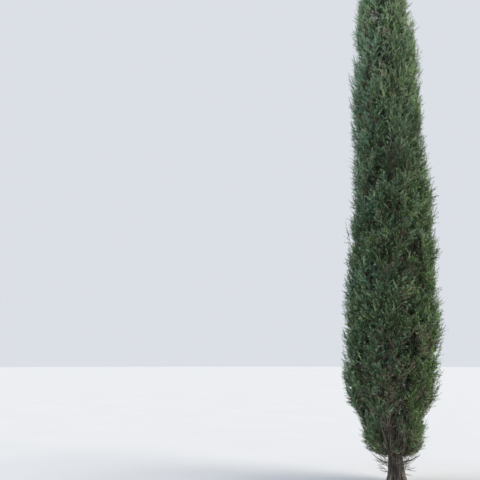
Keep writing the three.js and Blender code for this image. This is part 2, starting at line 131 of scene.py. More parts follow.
def drift(points: Array, wavelength: float, seed: int) -> Array:
    """Smooth noise of about -1 to 1: a sum of sines that run in several directions.

    Args:
        points: places, one to a row.
        wavelength: mean length of the waves.
        seed: picks their directions and phases.

    Returns:
        One value for each place.
    """
    waves, shorter = 7, (0.7, 1.4)
    rng = np.random.default_rng(seed)
    ways = unit(rng.normal(size=(waves, 3))) * (2 * math.pi / wavelength)
    ways = ways * rng.uniform(*shorter, (waves, 1))
    return np.sin(points @ ways.T + rng.uniform(0, 2 * math.pi, waves)).sum(-1) / math.sqrt(waves)


def bezier(a: Array, b: Array, c: Array, share: Array) -> Array:
    """Points of quadratic curves, one curve to a row: (1-t)^2 a + 2t(1-t) b + t^2 c at the shares t."""
    t = np.broadcast_to(share, (len(a), np.shape(share)[-1]))[..., None]
    return (1 - t) ** 2 * a[:, None] + 2 * t * (1 - t) * b[:, None] + t**2 * c[:, None]


def rising_bend(start: Array, end: Array, out_first: Numbers) -> Array:
    """The source's bend: out_first of the way level with the end, and the rest of it upwards."""
    return start + (end - start) * lerp(out_first * LEVEL, 1 - out_first, UP)


# Meshes from arrays


@dataclass
class Shell:
    """A mesh as arrays: points, triangles, and the place of each triangle's finish in a list."""

    points: Array
    triangles: Array
    finish: Array

    @classmethod
    def repeated(cls, points: Array, triangles: Array, finish: Array) -> "Shell":
        """One shell of shapes that share their triangles; points has the shape (shapes, points, 3)."""
        first = np.arange(len(points))[:, None, None] * points.shape[1]
        return cls(points.reshape(-1, 3), (triangles + first).reshape(-1, 3), finish)

    @classmethod
    def joined(cls, shells: list["Shell"]) -> "Shell":
        """Several shells as one, with the triangles' numbers moved up past the points before them.

        Args:
            shells: the shells, in order.

        Returns:
            One shell.
        """
        numbered = zip(shells, np.cumsum([0] + [len(shell.points) for shell in shells]))
        moved = [(shell.points, shell.triangles + first, shell.finish) for shell, first in numbered]
        return cls(*map(np.concatenate, zip(*moved)))

    def piece(self, name: str, finishes: list[Material], smooth: bool) -> Object:
        """Makes the shell an object at the origin.

        Args:
            name: the object's name.
            finishes: what the triangles' finish numbers point to.
            smooth: whether its faces are shaded as one surface.

        Returns:
            The object, linked to the scene.
        """
        mesh = bpy.data.meshes.new(name)
        count = len(self.triangles)
        mesh.vertices.add(len(self.points))
        mesh.vertices.foreach_set("co", self.points.astype(np.float32).ravel())
        mesh.loops.add(3 * count)
        mesh.loops.foreach_set("vertex_index", self.triangles.astype(np.int32).ravel())
        mesh.polygons.add(count)
        mesh.polygons.foreach_set("loop_start", np.arange(0, 3 * count, 3, dtype=np.int32))
        for finish in finishes:
            mesh.materials.append(finish)
        mesh.polygons.foreach_set("material_index", self.finish.astype(np.int32))
        mesh.polygons.foreach_set("use_smooth", np.full(count, smooth))
        mesh.update(calc_edges=True)
        made = bpy.data.objects.new(name, mesh)
        bpy.context.scene.collection.objects.link(made)
        return made


def dressed(piece: Object, nodes: list[str]) -> Object:
    """Hands a piece to the frame.

    Args:
        piece: the piece, in place.
        nodes: the CAD nodes that it stands for.

    Returns:
        The same piece.
    """
    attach(piece, "root")
    if nodes:
        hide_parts(*nodes)
    log.info("%s: %d triangles, for %d nodes", piece.name, len(piece.data.polygons), len(nodes))
    return piece


def ring_triangles(rings: int, sides: int) -> Array:
    """Triangles of a closed tube whose points run round each ring and then along it.

    Args:
        rings: rings of the tube.
        sides: points round a ring.

    Returns:
        Triangles that point outwards, with a fan over each end.
    """
    around = np.arange(sides)
    row = (np.arange(rings - 1) * sides)[:, None]
    here, beside = row + around, row + (around + 1) % sides
    walls = np.stack([here, beside, beside + sides, here, beside + sides, here + sides], -1)
    fan = np.arange(1, sides - 1)[:, None] * [0, 1, 1]
    last = (rings - 1) * sides
    return np.concatenate([walls.reshape(-1, 3), fan + [0, 1, 0], last + fan + [0, 0, 1]])


def tubes(
    paths: Array, radii: Array, sideways: Array, sides: int, finish: Numbers = 0, relief: Numbers = 1.0
) -> Shell:
    """Closed tubes along many paths: each point is the path's, plus the radius times a turning arm.

    Args:
        paths: points of shape (tubes, rings, 3).
        radii: radii of shape (tubes, rings), or of one tube.
        sideways: for each tube a direction about square to all of its path.
        sides: points round a ring.
        finish: for each tube the number of its finish.
        relief: factors on the radii, of shape (tubes, rings, sides) or less.

    Returns:
        All the tubes as one shell.
    """
    count, rings, _ = paths.shape
    tangent = unit(np.gradient(paths, axis=1))
    across = square_to(sideways[:, None], tangent)
    arm = turned(across[:, :, None], np.cross(tangent, across)[:, :, None], round_angles(sides))
    reach = np.broadcast_to(radii[..., None] * relief, (count, rings, sides))
    points = (paths[:, :, None] + arm * reach[..., None]).reshape(count, -1, 3)
    shape = ring_triangles(rings, sides)
    return Shell.repeated(points, shape, np.repeat(np.broadcast_to(finish, count), len(shape)))


# Finishes


def linear(code: str) -> tuple[float, ...]:
    """Turns an sRGB colour such as #4a5f4a into linear light: red, green and blue, and an alpha of 1."""
    values = [int(code[i : i + 2], 16) / 255 for i in (1, 3, 5)]
    return (*(v / 12.92 if v <= 0.04045 else ((v + 0.055) / 1.055) ** 2.4 for v in values), 1.0)


def add_node(
    tree: NodeTree, kind: str, values: dict | None = None, links: dict | None = None, **settings: object
) -> Node:
    """Adds one node.

    Args:
        tree: the node tree that it goes into.
        kind: the node's type, after the word ShaderNode.
        values: input sockets and what they are set to.
        links: input sockets and the output sockets that feed them.
        settings: attributes of the node.

    Returns:
        The node.
    """
    node = tree.nodes.new(f"ShaderNode{kind}")
    for key, value in settings.items():
        setattr(node, key, value)
    for key, value in (values or {}).items():
        node.inputs[key].default_value = value
    for key, source in (links or {}).items():
        tree.links.new(source, node.inputs[key])
    return node


def emptied(holder: Material | World) -> NodeTree:
    """Turns the nodes of a material or a world on, and clears them.

    Args:
        holder: the material or world.

    Returns:
        Its node tree.
    """
    holder.use_nodes = True
    holder.node_tree.nodes.clear()
    return holder.node_tree


class Finish:
    """A finish of one Principled shader, which takes its values and links from each kind's surface()."""

    title: str

    def build(self) -> Material:
        """Makes the material.

        Returns:
            The material.
        """
        material = bpy.data.materials.new(self.title)
        tree = emptied(material)
        shader = add_node(tree, "BsdfPrincipled", *self.surface(tree))
        add_node(tree, "OutputMaterial", links={"Surface": shader.outputs["BSDF"]})
        return material


@dataclass(frozen=True)
class PlainSkin(Finish):
    """A skin that shows no grain of its own, so one piece of it has one colour."""

    title: str
    tint: str
    roughness: float
    ior: float

    def surface(self, tree: NodeTree) -> tuple[dict, dict]:
        """The shader's values. It has no links, so the tree gets no more nodes."""
        return {"Base Color": linear(self.tint), "Roughness": self.roughness, "IOR": self.ior}, {}


@dataclass(frozen=True)
class ScaleLeaf(PlainSkin):
    """Scale leaves of one tint. Their thin waxy skin gives a soft, broad gloss and no highlights."""

    roughness: float = 0.62
    ior: float = 1.45


@dataclass(frozen=True)
class TwigSkin(PlainSkin):
    """Thin bark of shoots and twigs, matt. Too fine to show a grain, so it is one colour to a twig."""

    roughness: float = 0.85
    ior: float = 1.5


@dataclass(frozen=True)
class JuniperBark(Finish):
    """Old juniper bark: weathered grey fibres over red-brown inner bark, dry and without gloss.

    Fibres are about 6 mm wide and run up the stem for 0.1 m, and stripes 18 mm wide and 0.25 m long
    are bleached paler. The eye sees dark upright furrows with grey loose fibres between them. The
    near-black furrows, where the relief sinks, are darker inner bark with painted shade in them, and
    all tints are darker still as painted shade of the crown over the trunk. A grain is its width, its
    length and its octaves.
    """

    # Dark tints: the bark's own colour, darkened further as painted shade, and the furrow paints shade in
    # the recesses.
    furrow: str = "#17120f"
    inner: str = "#352c25"
    fibre: str = "#524d43"
    bleached: str = "#706d62"
    stops: tuple = (0.38, 0.48, 0.6)
    bleach: float = 0.6
    fibre_grain: tuple = (0.006, 0.1, 4.0)
    stripe_grain: tuple = (0.018, 0.25, 2.0)
    finer: float = 0.6
    distortion: float = 0.4
    relief: float = 0.004
    roughness: float = 0.92
    title: str = "juniper_bark"

    def surface(self, tree: NodeTree) -> tuple[dict, dict]:
        """Adds the grain and its relief, on Object coordinates.

        Args:
            tree: the material's node tree.

        Returns:
            The shader's values and links.
        """
        place = add_node(tree, "TexCoord").outputs["Object"]
        fibres, stripes = (self.grain(tree, place, *size) for size in (self.fibre_grain, self.stripe_grain))
        low, middle, high = self.stops
        colour = add_node(tree, "ValToRGB", links={"Fac": fibres})
        ramp = colour.color_ramp.elements
        ramp[0].position, ramp[0].color = low, linear(self.furrow)
        ramp[1].position, ramp[1].color = high, linear(self.fibre)
        ramp.new(middle).color = linear(self.inner)
        paler = {"From Min": middle, "From Max": high, "To Max": self.bleach}
        bleach = add_node(tree, "MapRange", paler, {"Value": stripes})
        mixing = {"Factor": bleach.outputs["Result"], "A": colour.outputs["Color"]}
        mixed = add_node(tree, "Mix", {"B": linear(self.bleached)}, mixing, data_type="RGBA")
        bump = add_node(tree, "Bump", {"Strength": 1.0, "Distance": self.relief}, {"Height": fibres})
        fed = {"Base Color": mixed.outputs[2], "Normal": bump.outputs["Normal"]}
        return {"Roughness": self.roughness}, fed

    def grain(
        self, tree: NodeTree, place: NodeSocket, width: float, length: float, octaves: float
    ) -> NodeSocket:
        """Noise drawn out upwards.

        Args:
            tree: the node tree that it goes into.
            place: the coordinates that it reads.
            width: size of a grain across, in metres.
            length: size of a grain upwards, in metres.
            octaves: how many finer noises lie over it.

        Returns:
            The noise's value.
        """
        scale = (1 / (2 * width), 1 / (2 * width), 1 / (2 * length))
        drawn = add_node(tree, "Mapping", {"Scale": scale}, {"Vector": place})
        values = {"Scale": 1.0, "Detail": octaves, "Roughness": self.finer, "Distortion": self.distortion}
        return add_node(tree, "TexNoise", values, {"Vector": drawn.outputs["Vector"]}).outputs["Fac"]


@dataclass(frozen=True)
class StudioFloor(Finish):
    """A matt, pale studio floor, even but for a very faint mottle."""

    tint: str = "#b9bcbf"
    mottle: str = "#b2b5b8"
    mottle_size: float = 1.5
    roughness: float = 0.9
    title: str = "studio_floor"

    def surface(self, tree: NodeTree) -> tuple[dict, dict]:
        """Adds the mottle, on Object coordinates.

        Args:
            tree: the material's node tree.

        Returns:
            The shader's values and links.
        """
        place = add_node(tree, "TexCoord").outputs["Object"]
        noise = add_node(tree, "TexNoise", {"Scale": 1 / self.mottle_size}, {"Vector": place})
        tints = {"A": linear(self.tint), "B": linear(self.mottle)}
        mixed = add_node(tree, "Mix", tints, {"Factor": noise.outputs["Fac"]}, data_type="RGBA")
        return {"Roughness": self.roughness}, {"Base Color": mixed.outputs[2]}


# The tree's plan, as in the part's source


@dataclass(frozen=True)
class TreePlan:
    """Axis, trunk, crown outline and the spaces of the masses, by the rule of the part's source.

    The outline's rows are heights and radii, and those of fuller are heights and how much farther the
    crown reaches there on its left and on its right.
    """

    height: float = 8.0
    trunk_top: float = 6.95
    trunk_radius: float = 0.089
    trunk_top_radius: float = 0.011
    taper_power: float = 0.85
    flare: float = 0.037
    flare_height: float = 0.12
    flare_lobes: int = 5
    lobe_depth: float = 0.35
    flute: float = 0.045
    lean: float = 0.125
    lean_height: float = 5.2
    sway: float = 0.03
    sway_top: float = 2.1
    bow: float = 0.035
    outline: tuple = (
        (0.34, 0.31), (0.48, 0.43), (0.82, 0.455), (1.00, 0.61), (1.30, 0.66),
        (2.10, 0.685), (2.90, 0.645), (3.50, 0.62), (4.30, 0.55), (5.70, 0.51),
        (6.40, 0.465), (6.80, 0.405), (7.25, 0.29), (7.70, 0.15), (8.00, 0.045),
    )
    fuller: tuple = (
        (0.33, 0.03, 0.0), (0.64, -0.04, -0.03), (0.90, 0.0, -0.03), (1.02, 0.05, 0.0),
        (1.28, 0.02, -0.03), (1.60, -0.01, -0.03), (2.07, 0.0, 0.0), (2.40, 0.0, -0.03),
        (2.90, 0.0, -0.02), (3.47, 0.0, 0.03), (3.76, -0.02, 0.03), (4.05, -0.01, 0.01),
        (4.50, 0.0, -0.05), (5.26, 0.03, -0.05), (5.66, 0.03, -0.01), (5.90, -0.02, -0.01),
        (6.38, 0.01, 0.01), (6.95, 0.0, 0.0),
    )
    sectors: int = 5
    first_sector: float = math.radians(-59)
    twist: float = math.radians(84)
    levels: int = 7
    skirt_foot: float = 0.375
    skirt_top: float = 0.9
    spire_foot: float = 6.85
    steepest: float = 2.2
    steepening: float = 1.2
    flattest: float = 0.1
    stagger: tuple = (0.0, 0.12, 0.42, 0.42, 0.42, 0.42, 0.42, 0.2)
    settling: int = 8
    bough_foot: float = 0.17
    skirt_stem_foot: float = 0.035
    bough_tip: tuple = (0.42, 0.09)
    bough_bend: float = 0.62
    stem_tip: tuple = (0.62, 0.8)
    stem_drift: float = 0.04
    stem_follow: float = 0.4
    stray: float = 0.25
    bough_radius: float = 0.025
    bough_thinning: float = 0.55
    bough_tip_share: float = 0.5
    stem_tip_radius: float = 0.004
    bough_levels: tuple = (1, 4)

    @property
    def sector_step(self) -> float:
        """Angle from one sector to the next."""
        return 2 * math.pi / self.sectors

    def axis(self, height: Array) -> Array:
        """Points of the tree's axis.

        x eases out to the lean, less a low sway that goes as a squared sine, and y follows half a
        sine wave.

        Args:
            height: heights, of any shape.

        Returns:
            Points, with one more axis than the heights.
        """
        height = np.asarray(height, float)
        sway = self.sway * np.sin(math.pi * np.clip(height / self.sway_top, 0, 1)) ** 2
        x = self.lean * smoothstep(height / self.lean_height) - sway
        return np.stack([x, -self.bow * np.sin(math.pi * height / self.height), height], -1)

    def outwards(self, points: Array) -> Array:
        """Level directions from the axis through points."""
        return unit((points - self.axis(points[:, 2])) * LEVEL)

    def reach(self, points: Array) -> Array:
        """Level distances of points from the axis."""
        return np.linalg.norm((points - self.axis(points[:, 2]))[:, :2], axis=1)

    def crown_radius(self, height: Numbers) -> Array:
        """Radius of the crown at heights, straight between the outline's points."""
        return np.interp(height, *zip(*self.outline))

    def fullness(self, points: Array) -> Array:
        """How much farther than its radius the crown reaches, or less far where it is negative.

        It is the left length times the squared leftward share of the direction, plus the right's.

        Args:
            points: places in the crown.

        Returns:
            A length for each.
        """
        heights, *lengths = np.array(self.fuller).T
        rightward = self.outwards(points)[:, 0]
        shares = np.clip([-rightward, rightward], 0, 1) ** 2
        return sum(share * np.interp(points[:, 2], heights, side) for share, side in zip(shares, lengths))

    def trunk_skin(self, height: Array, angle: Array) -> Array:
        """Radius of the trunk: a power taper, an exponential root flare, and lobes as a cosine.

        Args:
            height: heights.
            angle: directions round the axis.

        Returns:
            The radius for each pair.
        """
        left = np.maximum(0.0, 1 - height / self.trunk_top)
        taper = self.trunk_top_radius + (self.trunk_radius - self.trunk_top_radius) * left**self.taper_power
        spread = np.exp(-height / self.flare_height)
        mean = taper + self.flare * spread
        lobe = np.cos(self.flare_lobes * angle + height / self.height)
        return mean + (self.flute * mean + self.lobe_depth * self.flare * spread) * lobe

    def divider(self, level: Array, sector: Array) -> tuple[Array, Array]:
        """Slope and foot of the plane under a level, in each sector.

        Args:
            level: levels, from 0 to the one of the spire.
            sector: sectors.

        Returns:
            The planes' slopes, and their heights at the axis.
        """
        shift = ((2 * sector) % self.sectors) / self.sectors - (self.sectors - 1) / (2 * self.sectors)
        pitch = (self.spire_foot - self.skirt_top) / (self.levels - 1)
        even = np.where(level == 0, self.skirt_foot, self.skirt_top + pitch * (level - 1))
        skin = even + pitch * np.asarray(self.stagger)[level] * 2 * shift
        slope = self.steepest * (1 - np.exp(-(level + self.flattest) / self.steepening))
        return slope, skin - slope * self.crown_radius(skin)

    def directions(self, sector: Array, height: Array) -> tuple[Array, Array]:
        """The directions out through the middle of sectors and across them; sectors wind on upwards."""
        out = arms(self.first_sector + self.sector_step * sector + self.twist * height / self.height)
        return out, np.cross(UP, out)

    def point_in(self, level: Array, sector: Array, out: Array, side: Array, up: Array) -> Array:
        """Points of the masses' spaces, by their shares of the radius, half width and rise.

        The height settles in a few rounds, because radius and height hang on each other. Over the
        spire there is no plane, and its spaces end at the tree's tip.

        Args:
            level: levels.
            sector: sectors.
            out: shares of the crown's radius.
            side: shares of the half width, from -1 to 1.
            up: shares of the way from the plane below to the one above.

        Returns:
            The points.
        """
        under_slope, under_foot = self.divider(level, sector)
        over_slope, over_foot = self.divider(np.minimum(level + 1, self.levels), sector)
        is_spire = level == self.levels
        turn = self.sector_step / 2 * side
        height = np.where(is_spire, self.height, over_foot)
        for _ in range(self.settling):
            radius = out * self.crown_radius(height)
            run = radius * np.cos(turn)
            high = np.where(is_spire, self.height, over_foot + over_slope * run)
            height = lerp(under_foot + under_slope * run, high, up)
        outwards, across = self.directions(sector, height)
        return self.axis(height) + turned(outwards, across, turn) * radius[:, None]

    def limbs(self, level: Array, sector: Array, steps: int) -> tuple[Array, Array]:
        """The limb of each mass: a bough that leaves the trunk's axis, and its stem, as one path.

        Args:
            level: levels below the spire.
            sector: sectors.
            steps: points along each part of a limb.

        Returns:
            Paths of shape (limbs, 2 steps - 1, 3), and their radii.
        """
        stray = self.stray * scatter(level, sector, 1)
        _, under_foot = self.divider(level, sector)
        foot = self.axis(under_foot + np.where(level > 0, self.bough_foot, self.skirt_stem_foot))
        end_out = self.stem_tip[0] + self.stem_drift * scatter(level, sector, 2)
        tip = self.point_in(level, sector, self.bough_tip[0], stray, self.bough_tip[1])
        end = self.point_in(level, sector, end_out, -stray, self.stem_tip[1])
        bend = rising_bend(foot, tip, self.bough_bend)
        share = np.linspace(0, 1, steps)
        leave = unit(tip - bend) * np.linalg.norm(end - tip, axis=1, keepdims=True) * self.stem_follow
        paths = [bezier(foot, bend, tip, share), bezier(tip, tip + leave, end, share)[:, 1:]]
        radius = self.bough_radius * lerp(1, self.bough_thinning, level / (self.levels - 1))[:, None]
        tip_radius = radius * self.bough_tip_share
        radii = [lerp(radius, tip_radius, share), lerp(tip_radius, self.stem_tip_radius, share[1:])]
        return np.concatenate(paths, 1), np.concatenate(radii, 1)


# Wood


@dataclass
class Trunk:
    """The trunk with its bark's relief, and loose strips of bark that peel off its foot."""

    plan: TreePlan
    sides: int = 112
    rings: int = 210
    crowding: float = 1.7
    ridge_counts: tuple = (7, 11, 16, 23, 31)
    ridge_depth: float = 0.09
    ridge_wander: float = 1.3
    ridge_pace: tuple = (0.8, 2.2)
    ridge_slant: float = 2.2
    ridge_power: float = 0.7
    ridge_mean: float = 0.4
    swell: float = 0.3
    swell_length: float = 0.35
    swell_sides: int = 3
    foot_share: float = 0.02
    strips: int = 150
    strip_points: int = 8
    strip_height: float = 1.3
    strip_crowding: float = 1.4
    strip_length: tuple = (0.09, 0.26)
    strip_slant: float = 0.12
    strip_width: float = 0.008
    strip_thickness: float = 0.0012
    strip_edge: float = 0.6
    strip_ends: tuple = (0.12, 0.9)
    strip_narrowest: float = 0.5
    strip_sink: float = 0.6
    strip_lift: float = 0.01
    strip_least_lift: float = 0.1
    strip_curl: float = 2.5
    seed: int = 21

    def surface(self) -> Shell:
        """The trunk's own surface.

        A point at an angle and a height is the axis plus the source's radius there, times one plus
        ridges: cosines of whole multiples of the angle, whose phases wander with height, so that
        ridges run up the trunk, split and join. The first ring is a tiny one at ground level, so that
        the foot is closed by a flat disc.

        Returns:
            The closed shell.
        """
        rng = np.random.default_rng(self.seed)
        share = np.append(0.0, np.linspace(0, 1, self.rings - 1) ** self.crowding)
        height = (self.plan.trunk_top * share)[:, None]
        angle = round_angles(self.sides)[None]
        ridge = np.zeros((self.rings, self.sides))
        for count in self.ridge_counts:
            pace, phase = rng.uniform(*self.ridge_pace), rng.uniform(0, 2 * math.pi)
            wander = self.ridge_wander * np.sin(2 * math.pi * pace * height + phase)
            waves = np.sin(2 * math.pi * height / self.swell_length + self.swell_sides * angle + phase)
            wave = np.cos(count * angle + wander + count + self.ridge_slant * height)
            ridge += wave * (1 + self.swell * (waves - 1))
        ridge = 1 - 2 * np.abs(ridge / len(self.ridge_counts)) ** self.ridge_power
        radius = self.plan.trunk_skin(height, angle) * (1 + self.ridge_depth * (ridge - self.ridge_mean))
        radius[0] *= self.foot_share
        points = self.plan.axis(height) + arms(angle) * radius[..., None]
        triangles = ring_triangles(self.rings, self.sides)
        return Shell(points.reshape(-1, 3), triangles, np.zeros(len(triangles), int))

    def peeling(self) -> Shell:
        """Loose strips: flat tubes up the trunk's skin whose upper ends lift off it.

        Returns:
            All the strips as one shell.
        """
        rng = np.random.default_rng(self.seed + 1)
        each = (self.strips, 1)
        low = self.strip_height * rng.uniform(0, 1, each) ** self.strip_crowding
        length = rng.uniform(*self.strip_length, each)
        angle = rng.uniform(0, 2 * math.pi, self.strips)
        share = np.linspace(0, 1, self.strip_points)
        height = low + length * share
        turn = angle[:, None] + rng.normal(0, self.strip_slant, each) * share
        lift = self.strip_lift * rng.uniform(self.strip_least_lift, 1, each) * share**self.strip_curl
        radius = self.plan.trunk_skin(height, turn) * (1 - self.ridge_depth * self.strip_sink) + lift
        paths = self.plan.axis(height) + arms(turn) * radius[..., None]
        taper = np.sin(math.pi * lerp(*self.strip_ends, share))
        widths = self.strip_width * rng.uniform(self.strip_narrowest, 1, each) * taper
        flat = [1.0, self.strip_edge, self.strip_thickness / self.strip_width, self.strip_edge] * 2
        return tubes(paths, widths, np.cross(UP, arms(angle)), len(flat), relief=np.array(flat))

    def build(self, bark: Material) -> Object:
        """Makes the piece that stands for the CAD trunk, with its finish."""
        piece = Shell.joined([self.surface(), self.peeling()]).piece("trunk_bark", [bark], True)
        return dressed(piece, ["trunk"])


@dataclass
class Boughs:
    """The boughs and stems, with fibrous bark, and the trunk's thin end inside the top mass."""

    plan: TreePlan
    sides: int = 9
    steps: int = 14
    ridge: float = 0.09
    ridge_waves: tuple = ((3, 0.5), (4, -0.7))
    leader_span: tuple = (6.2, 7.6)
    leader_radii: tuple = (0.0143, 0.002)

    def paths(self) -> tuple[Array, Array, Array, Array]:
        """The limbs of all masses, and the leader for the spire's five spaces.

        Returns:
            Levels, sectors, paths of shape (masses, points, 3), and radii.
        """
        levels, sectors = self.plan.levels, self.plan.sectors
        level, sector = np.divmod(np.arange((levels + 1) * sectors), sectors)
        below = level < levels
        paths, radii = self.plan.limbs(level[below], sector[below], self.steps)
        share = np.linspace(0, 1, paths.shape[1])
        leader = self.plan.axis(lerp(*self.leader_span, share)), lerp(*self.leader_radii, share)
        both = zip((paths, radii), (np.repeat(line[None], sectors, 0) for line in leader))
        return level, sector, *map(np.concatenate, both)

    def build(self, bark: Material) -> Object:
        """Makes the piece that stands for the CAD boughs.

        Args:
            bark: its finish.

        Returns:
            The piece.
        """
        last = self.plan.levels * self.plan.sectors + 1
        _, sector, paths, radii = (values[:last] for values in self.paths())
        _, across = self.plan.directions(sector, paths[:, 0, 2])
        along = np.arange(paths.shape[1])[:, None]
        wave = sum(np.cos(n * round_angles(self.sides) + slant * along) for n, slant in self.ridge_waves)
        shell = tubes(paths, radii, across, self.sides, relief=1 + self.ridge * wave / 2)
        first, final = self.plan.bough_levels
        nodes = [f"bough_{n}_{s}" for n in range(first, final + 1) for s in range(self.plan.sectors)]
        return dressed(shell.piece("boughs_bark", [bark], True), nodes)


@dataclass
class DeadTwigs:
    """Bare twigs round the trunk's foot, and bare stems in the parting of the skirt over it.

    The forked ones follow the source's rule, carried to finer ends. The sprigs and stems leave the
    trunk, go out first and then curve up, and bear finer twigs of their own. Their spans are those of
    their heights, reaches and rises.
    """

    plan: TreePlan
    twigs: tuple = ((math.radians(-148), 0.205), (math.radians(-28), 0.225), (math.radians(84), 0.19))
    span: float = 0.285
    rise: float = 0.105
    kink: float = 0.003
    radius: float = 0.01
    tip_radius: float = 0.003
    tip_thinning: float = 0.7
    forks: tuple = ((0.45, 0.7, 0.12), (0.68, -0.8, 0.095))
    fork_radius: float = 0.0048
    fine_twigs: int = 16
    fine_place: tuple = (0.35, 0.98)
    fine_length: tuple = (0.05, 0.13)
    fine_turn: tuple = (0.4, 1.1)
    fine_radius: float = 0.0022
    sprigs: int = 96
    sprig_spans: tuple = ((0.12, 0.85), (0.14, 0.34), (-0.02, 0.28))
    sprig_crowding: float = 1.5
    sprig_kink: float = 0.007
    sprig_radius: float = 0.003
    sprig_forks: int = 6
    sprig_place: tuple = (0.4, 0.98)
    stems: int = 16
    stem_spans: tuple = ((0.3, 0.9), (0.28, 0.56), (0.5, 1.0))
    stem_side: float = math.radians(-104)
    stem_spread: float = math.radians(48)
    stem_radius: float = 0.0055
    thinning: float = 0.3
    fork_thinning: float = 0.35
    fork_scatter: float = 0.25
    fork_sag: float = 0.08
    steepest_droop: float = -0.25
    points: int = 9
    fine_points: int = 5
    sides: int = 7
    fine_sides: int = 5
    seed: int = 31

    def curves(
        self, angle: Array, height: Array, reach: Array, rise: Array, kink: float, rng: Random
    ) -> tuple[Array, Array]:
        """Paths from the trunk's axis that go out first and then up, with small kinks.

        Args:
            angle: directions round the axis.
            height: heights at which they leave.
            reach: how far out their tips are.
            rise: how far up their tips are.
            kink: size of the kinks, largest half way along.
            rng: source of the kinks.

        Returns:
            Paths of shape (twigs, points, 3), and the level directions across them.
        """
        foot = self.plan.axis(height)
        tip = self.plan.axis(height + rise) + arms(angle) * reach[:, None]
        share = np.linspace(0, 1, self.points)
        kinks = rng.normal(0, kink, (len(angle), self.points, 3)) * np.sin(math.pi * share)[:, None]
        bend = rising_bend(foot, tip, self.plan.bough_bend)
        return bezier(foot, bend, tip, share) + kinks, np.cross(UP, arms(angle))

    def offshoots(
        self, twigs: tuple[Array, Array], place: float, turn: float, length: float, radius: float,
        skins: int, rng: Random,
    ) -> Shell:
        """One side twig on each main twig, slightly bent upwards.

        Args:
            twigs: the main twigs' paths, and the direction across each.
            place: share of the way along at which they leave.
            turn: how far they turn across, against straight on.
            length: their length.
            radius: radius at their foot.
            skins: number of finishes.
            rng: source of their scatter.

        Returns:
            The side twigs as one shell.
        """
        paths, side = twigs
        at = place * (self.points - 1)
        low = int(min(at, self.points - 2))
        start = lerp(paths[:, low], paths[:, low + 1], at - low)
        ahead = unit(paths[:, low + 1] - paths[:, low])
        way = unit(ahead + side * turn + rng.normal(0, self.fork_scatter, side.shape))
        way[:, 2] = np.maximum(way[:, 2], self.steepest_droop)
        end = start + way * length
        share = np.linspace(0, 1, self.fine_points)
        made = bezier(start, lerp(start, end, 0.5) - UP * length * self.fork_sag, end, share)
        radii, across = lerp(radius, radius * self.fork_thinning, share), unit(np.cross(way, UP))
        return tubes(made, radii, across, self.fine_sides, rng.integers(0, skins, len(paths)))

    def build(self, skins: list[Material]) -> Object:
        """Makes the piece that stands for the CAD dead twigs.

        Args:
            skins: finishes, dealt out by twig.

        Returns:
            The piece.
        """
        rng = np.random.default_rng(self.seed)
        kinds = len(skins)
        angle, height = np.array(self.twigs).T
        share = np.linspace(0, 1, self.points)
        same = np.ones(len(angle))
        forked = self.curves(angle, height, self.span * same, self.rise * same, self.kink, rng)
        radii = lerp(self.radius, self.tip_radius * self.tip_thinning, share)
        shells = [tubes(forked[0], radii, forked[1], self.sides, np.arange(len(angle)) % kinds)]
        for fork in self.forks:
            shells.append(self.offshoots(forked, *fork, self.fork_radius, kinds, rng))
        for _ in range(self.fine_twigs):
            place, length = rng.uniform(*self.fine_place), rng.uniform(*self.fine_length)
            turn = rng.choice([-1, 1]) * rng.uniform(*self.fine_turn)
            shells.append(self.offshoots(forked, place, turn, length, self.fine_radius, kinds, rng))
        around = 2 * math.pi * GOLDEN_SHARE * np.arange(self.sprigs)
        front = self.stem_side + self.stem_spread * rng.uniform(-1, 1, self.stems)
        low = lerp(*self.sprig_spans[0], rng.uniform(0, 1, self.sprigs) ** self.sprig_crowding)
        short = [low, *(rng.uniform(*span, self.sprigs) for span in self.sprig_spans[1:])]
        tall = [rng.uniform(*span, self.stems) for span in self.stem_spans]
        for way, spans, thick in ((around, short, self.sprig_radius), (front, tall, self.stem_radius)):
            bare = self.curves(way, *spans, self.sprig_kink, rng)
            radii = lerp(thick, thick * self.thinning, share)
            shells.append(tubes(bare[0], radii, bare[1], self.fine_sides, rng.integers(0, kinds, len(way))))
            for place in rng.uniform(*self.sprig_place, self.sprig_forks):
                turn = rng.choice([-1, 1]) * rng.uniform(*self.fine_turn)
                length = rng.uniform(*self.fine_length)
                shells.append(self.offshoots(bare, place, turn, length, self.fine_radius, kinds, rng))
        piece = Shell.joined(shells).piece("dead_twigs_bare", skins, True)
        return dressed(piece, [f"dead_twig_{n}" for n in range(len(self.twigs))])


# Foliage


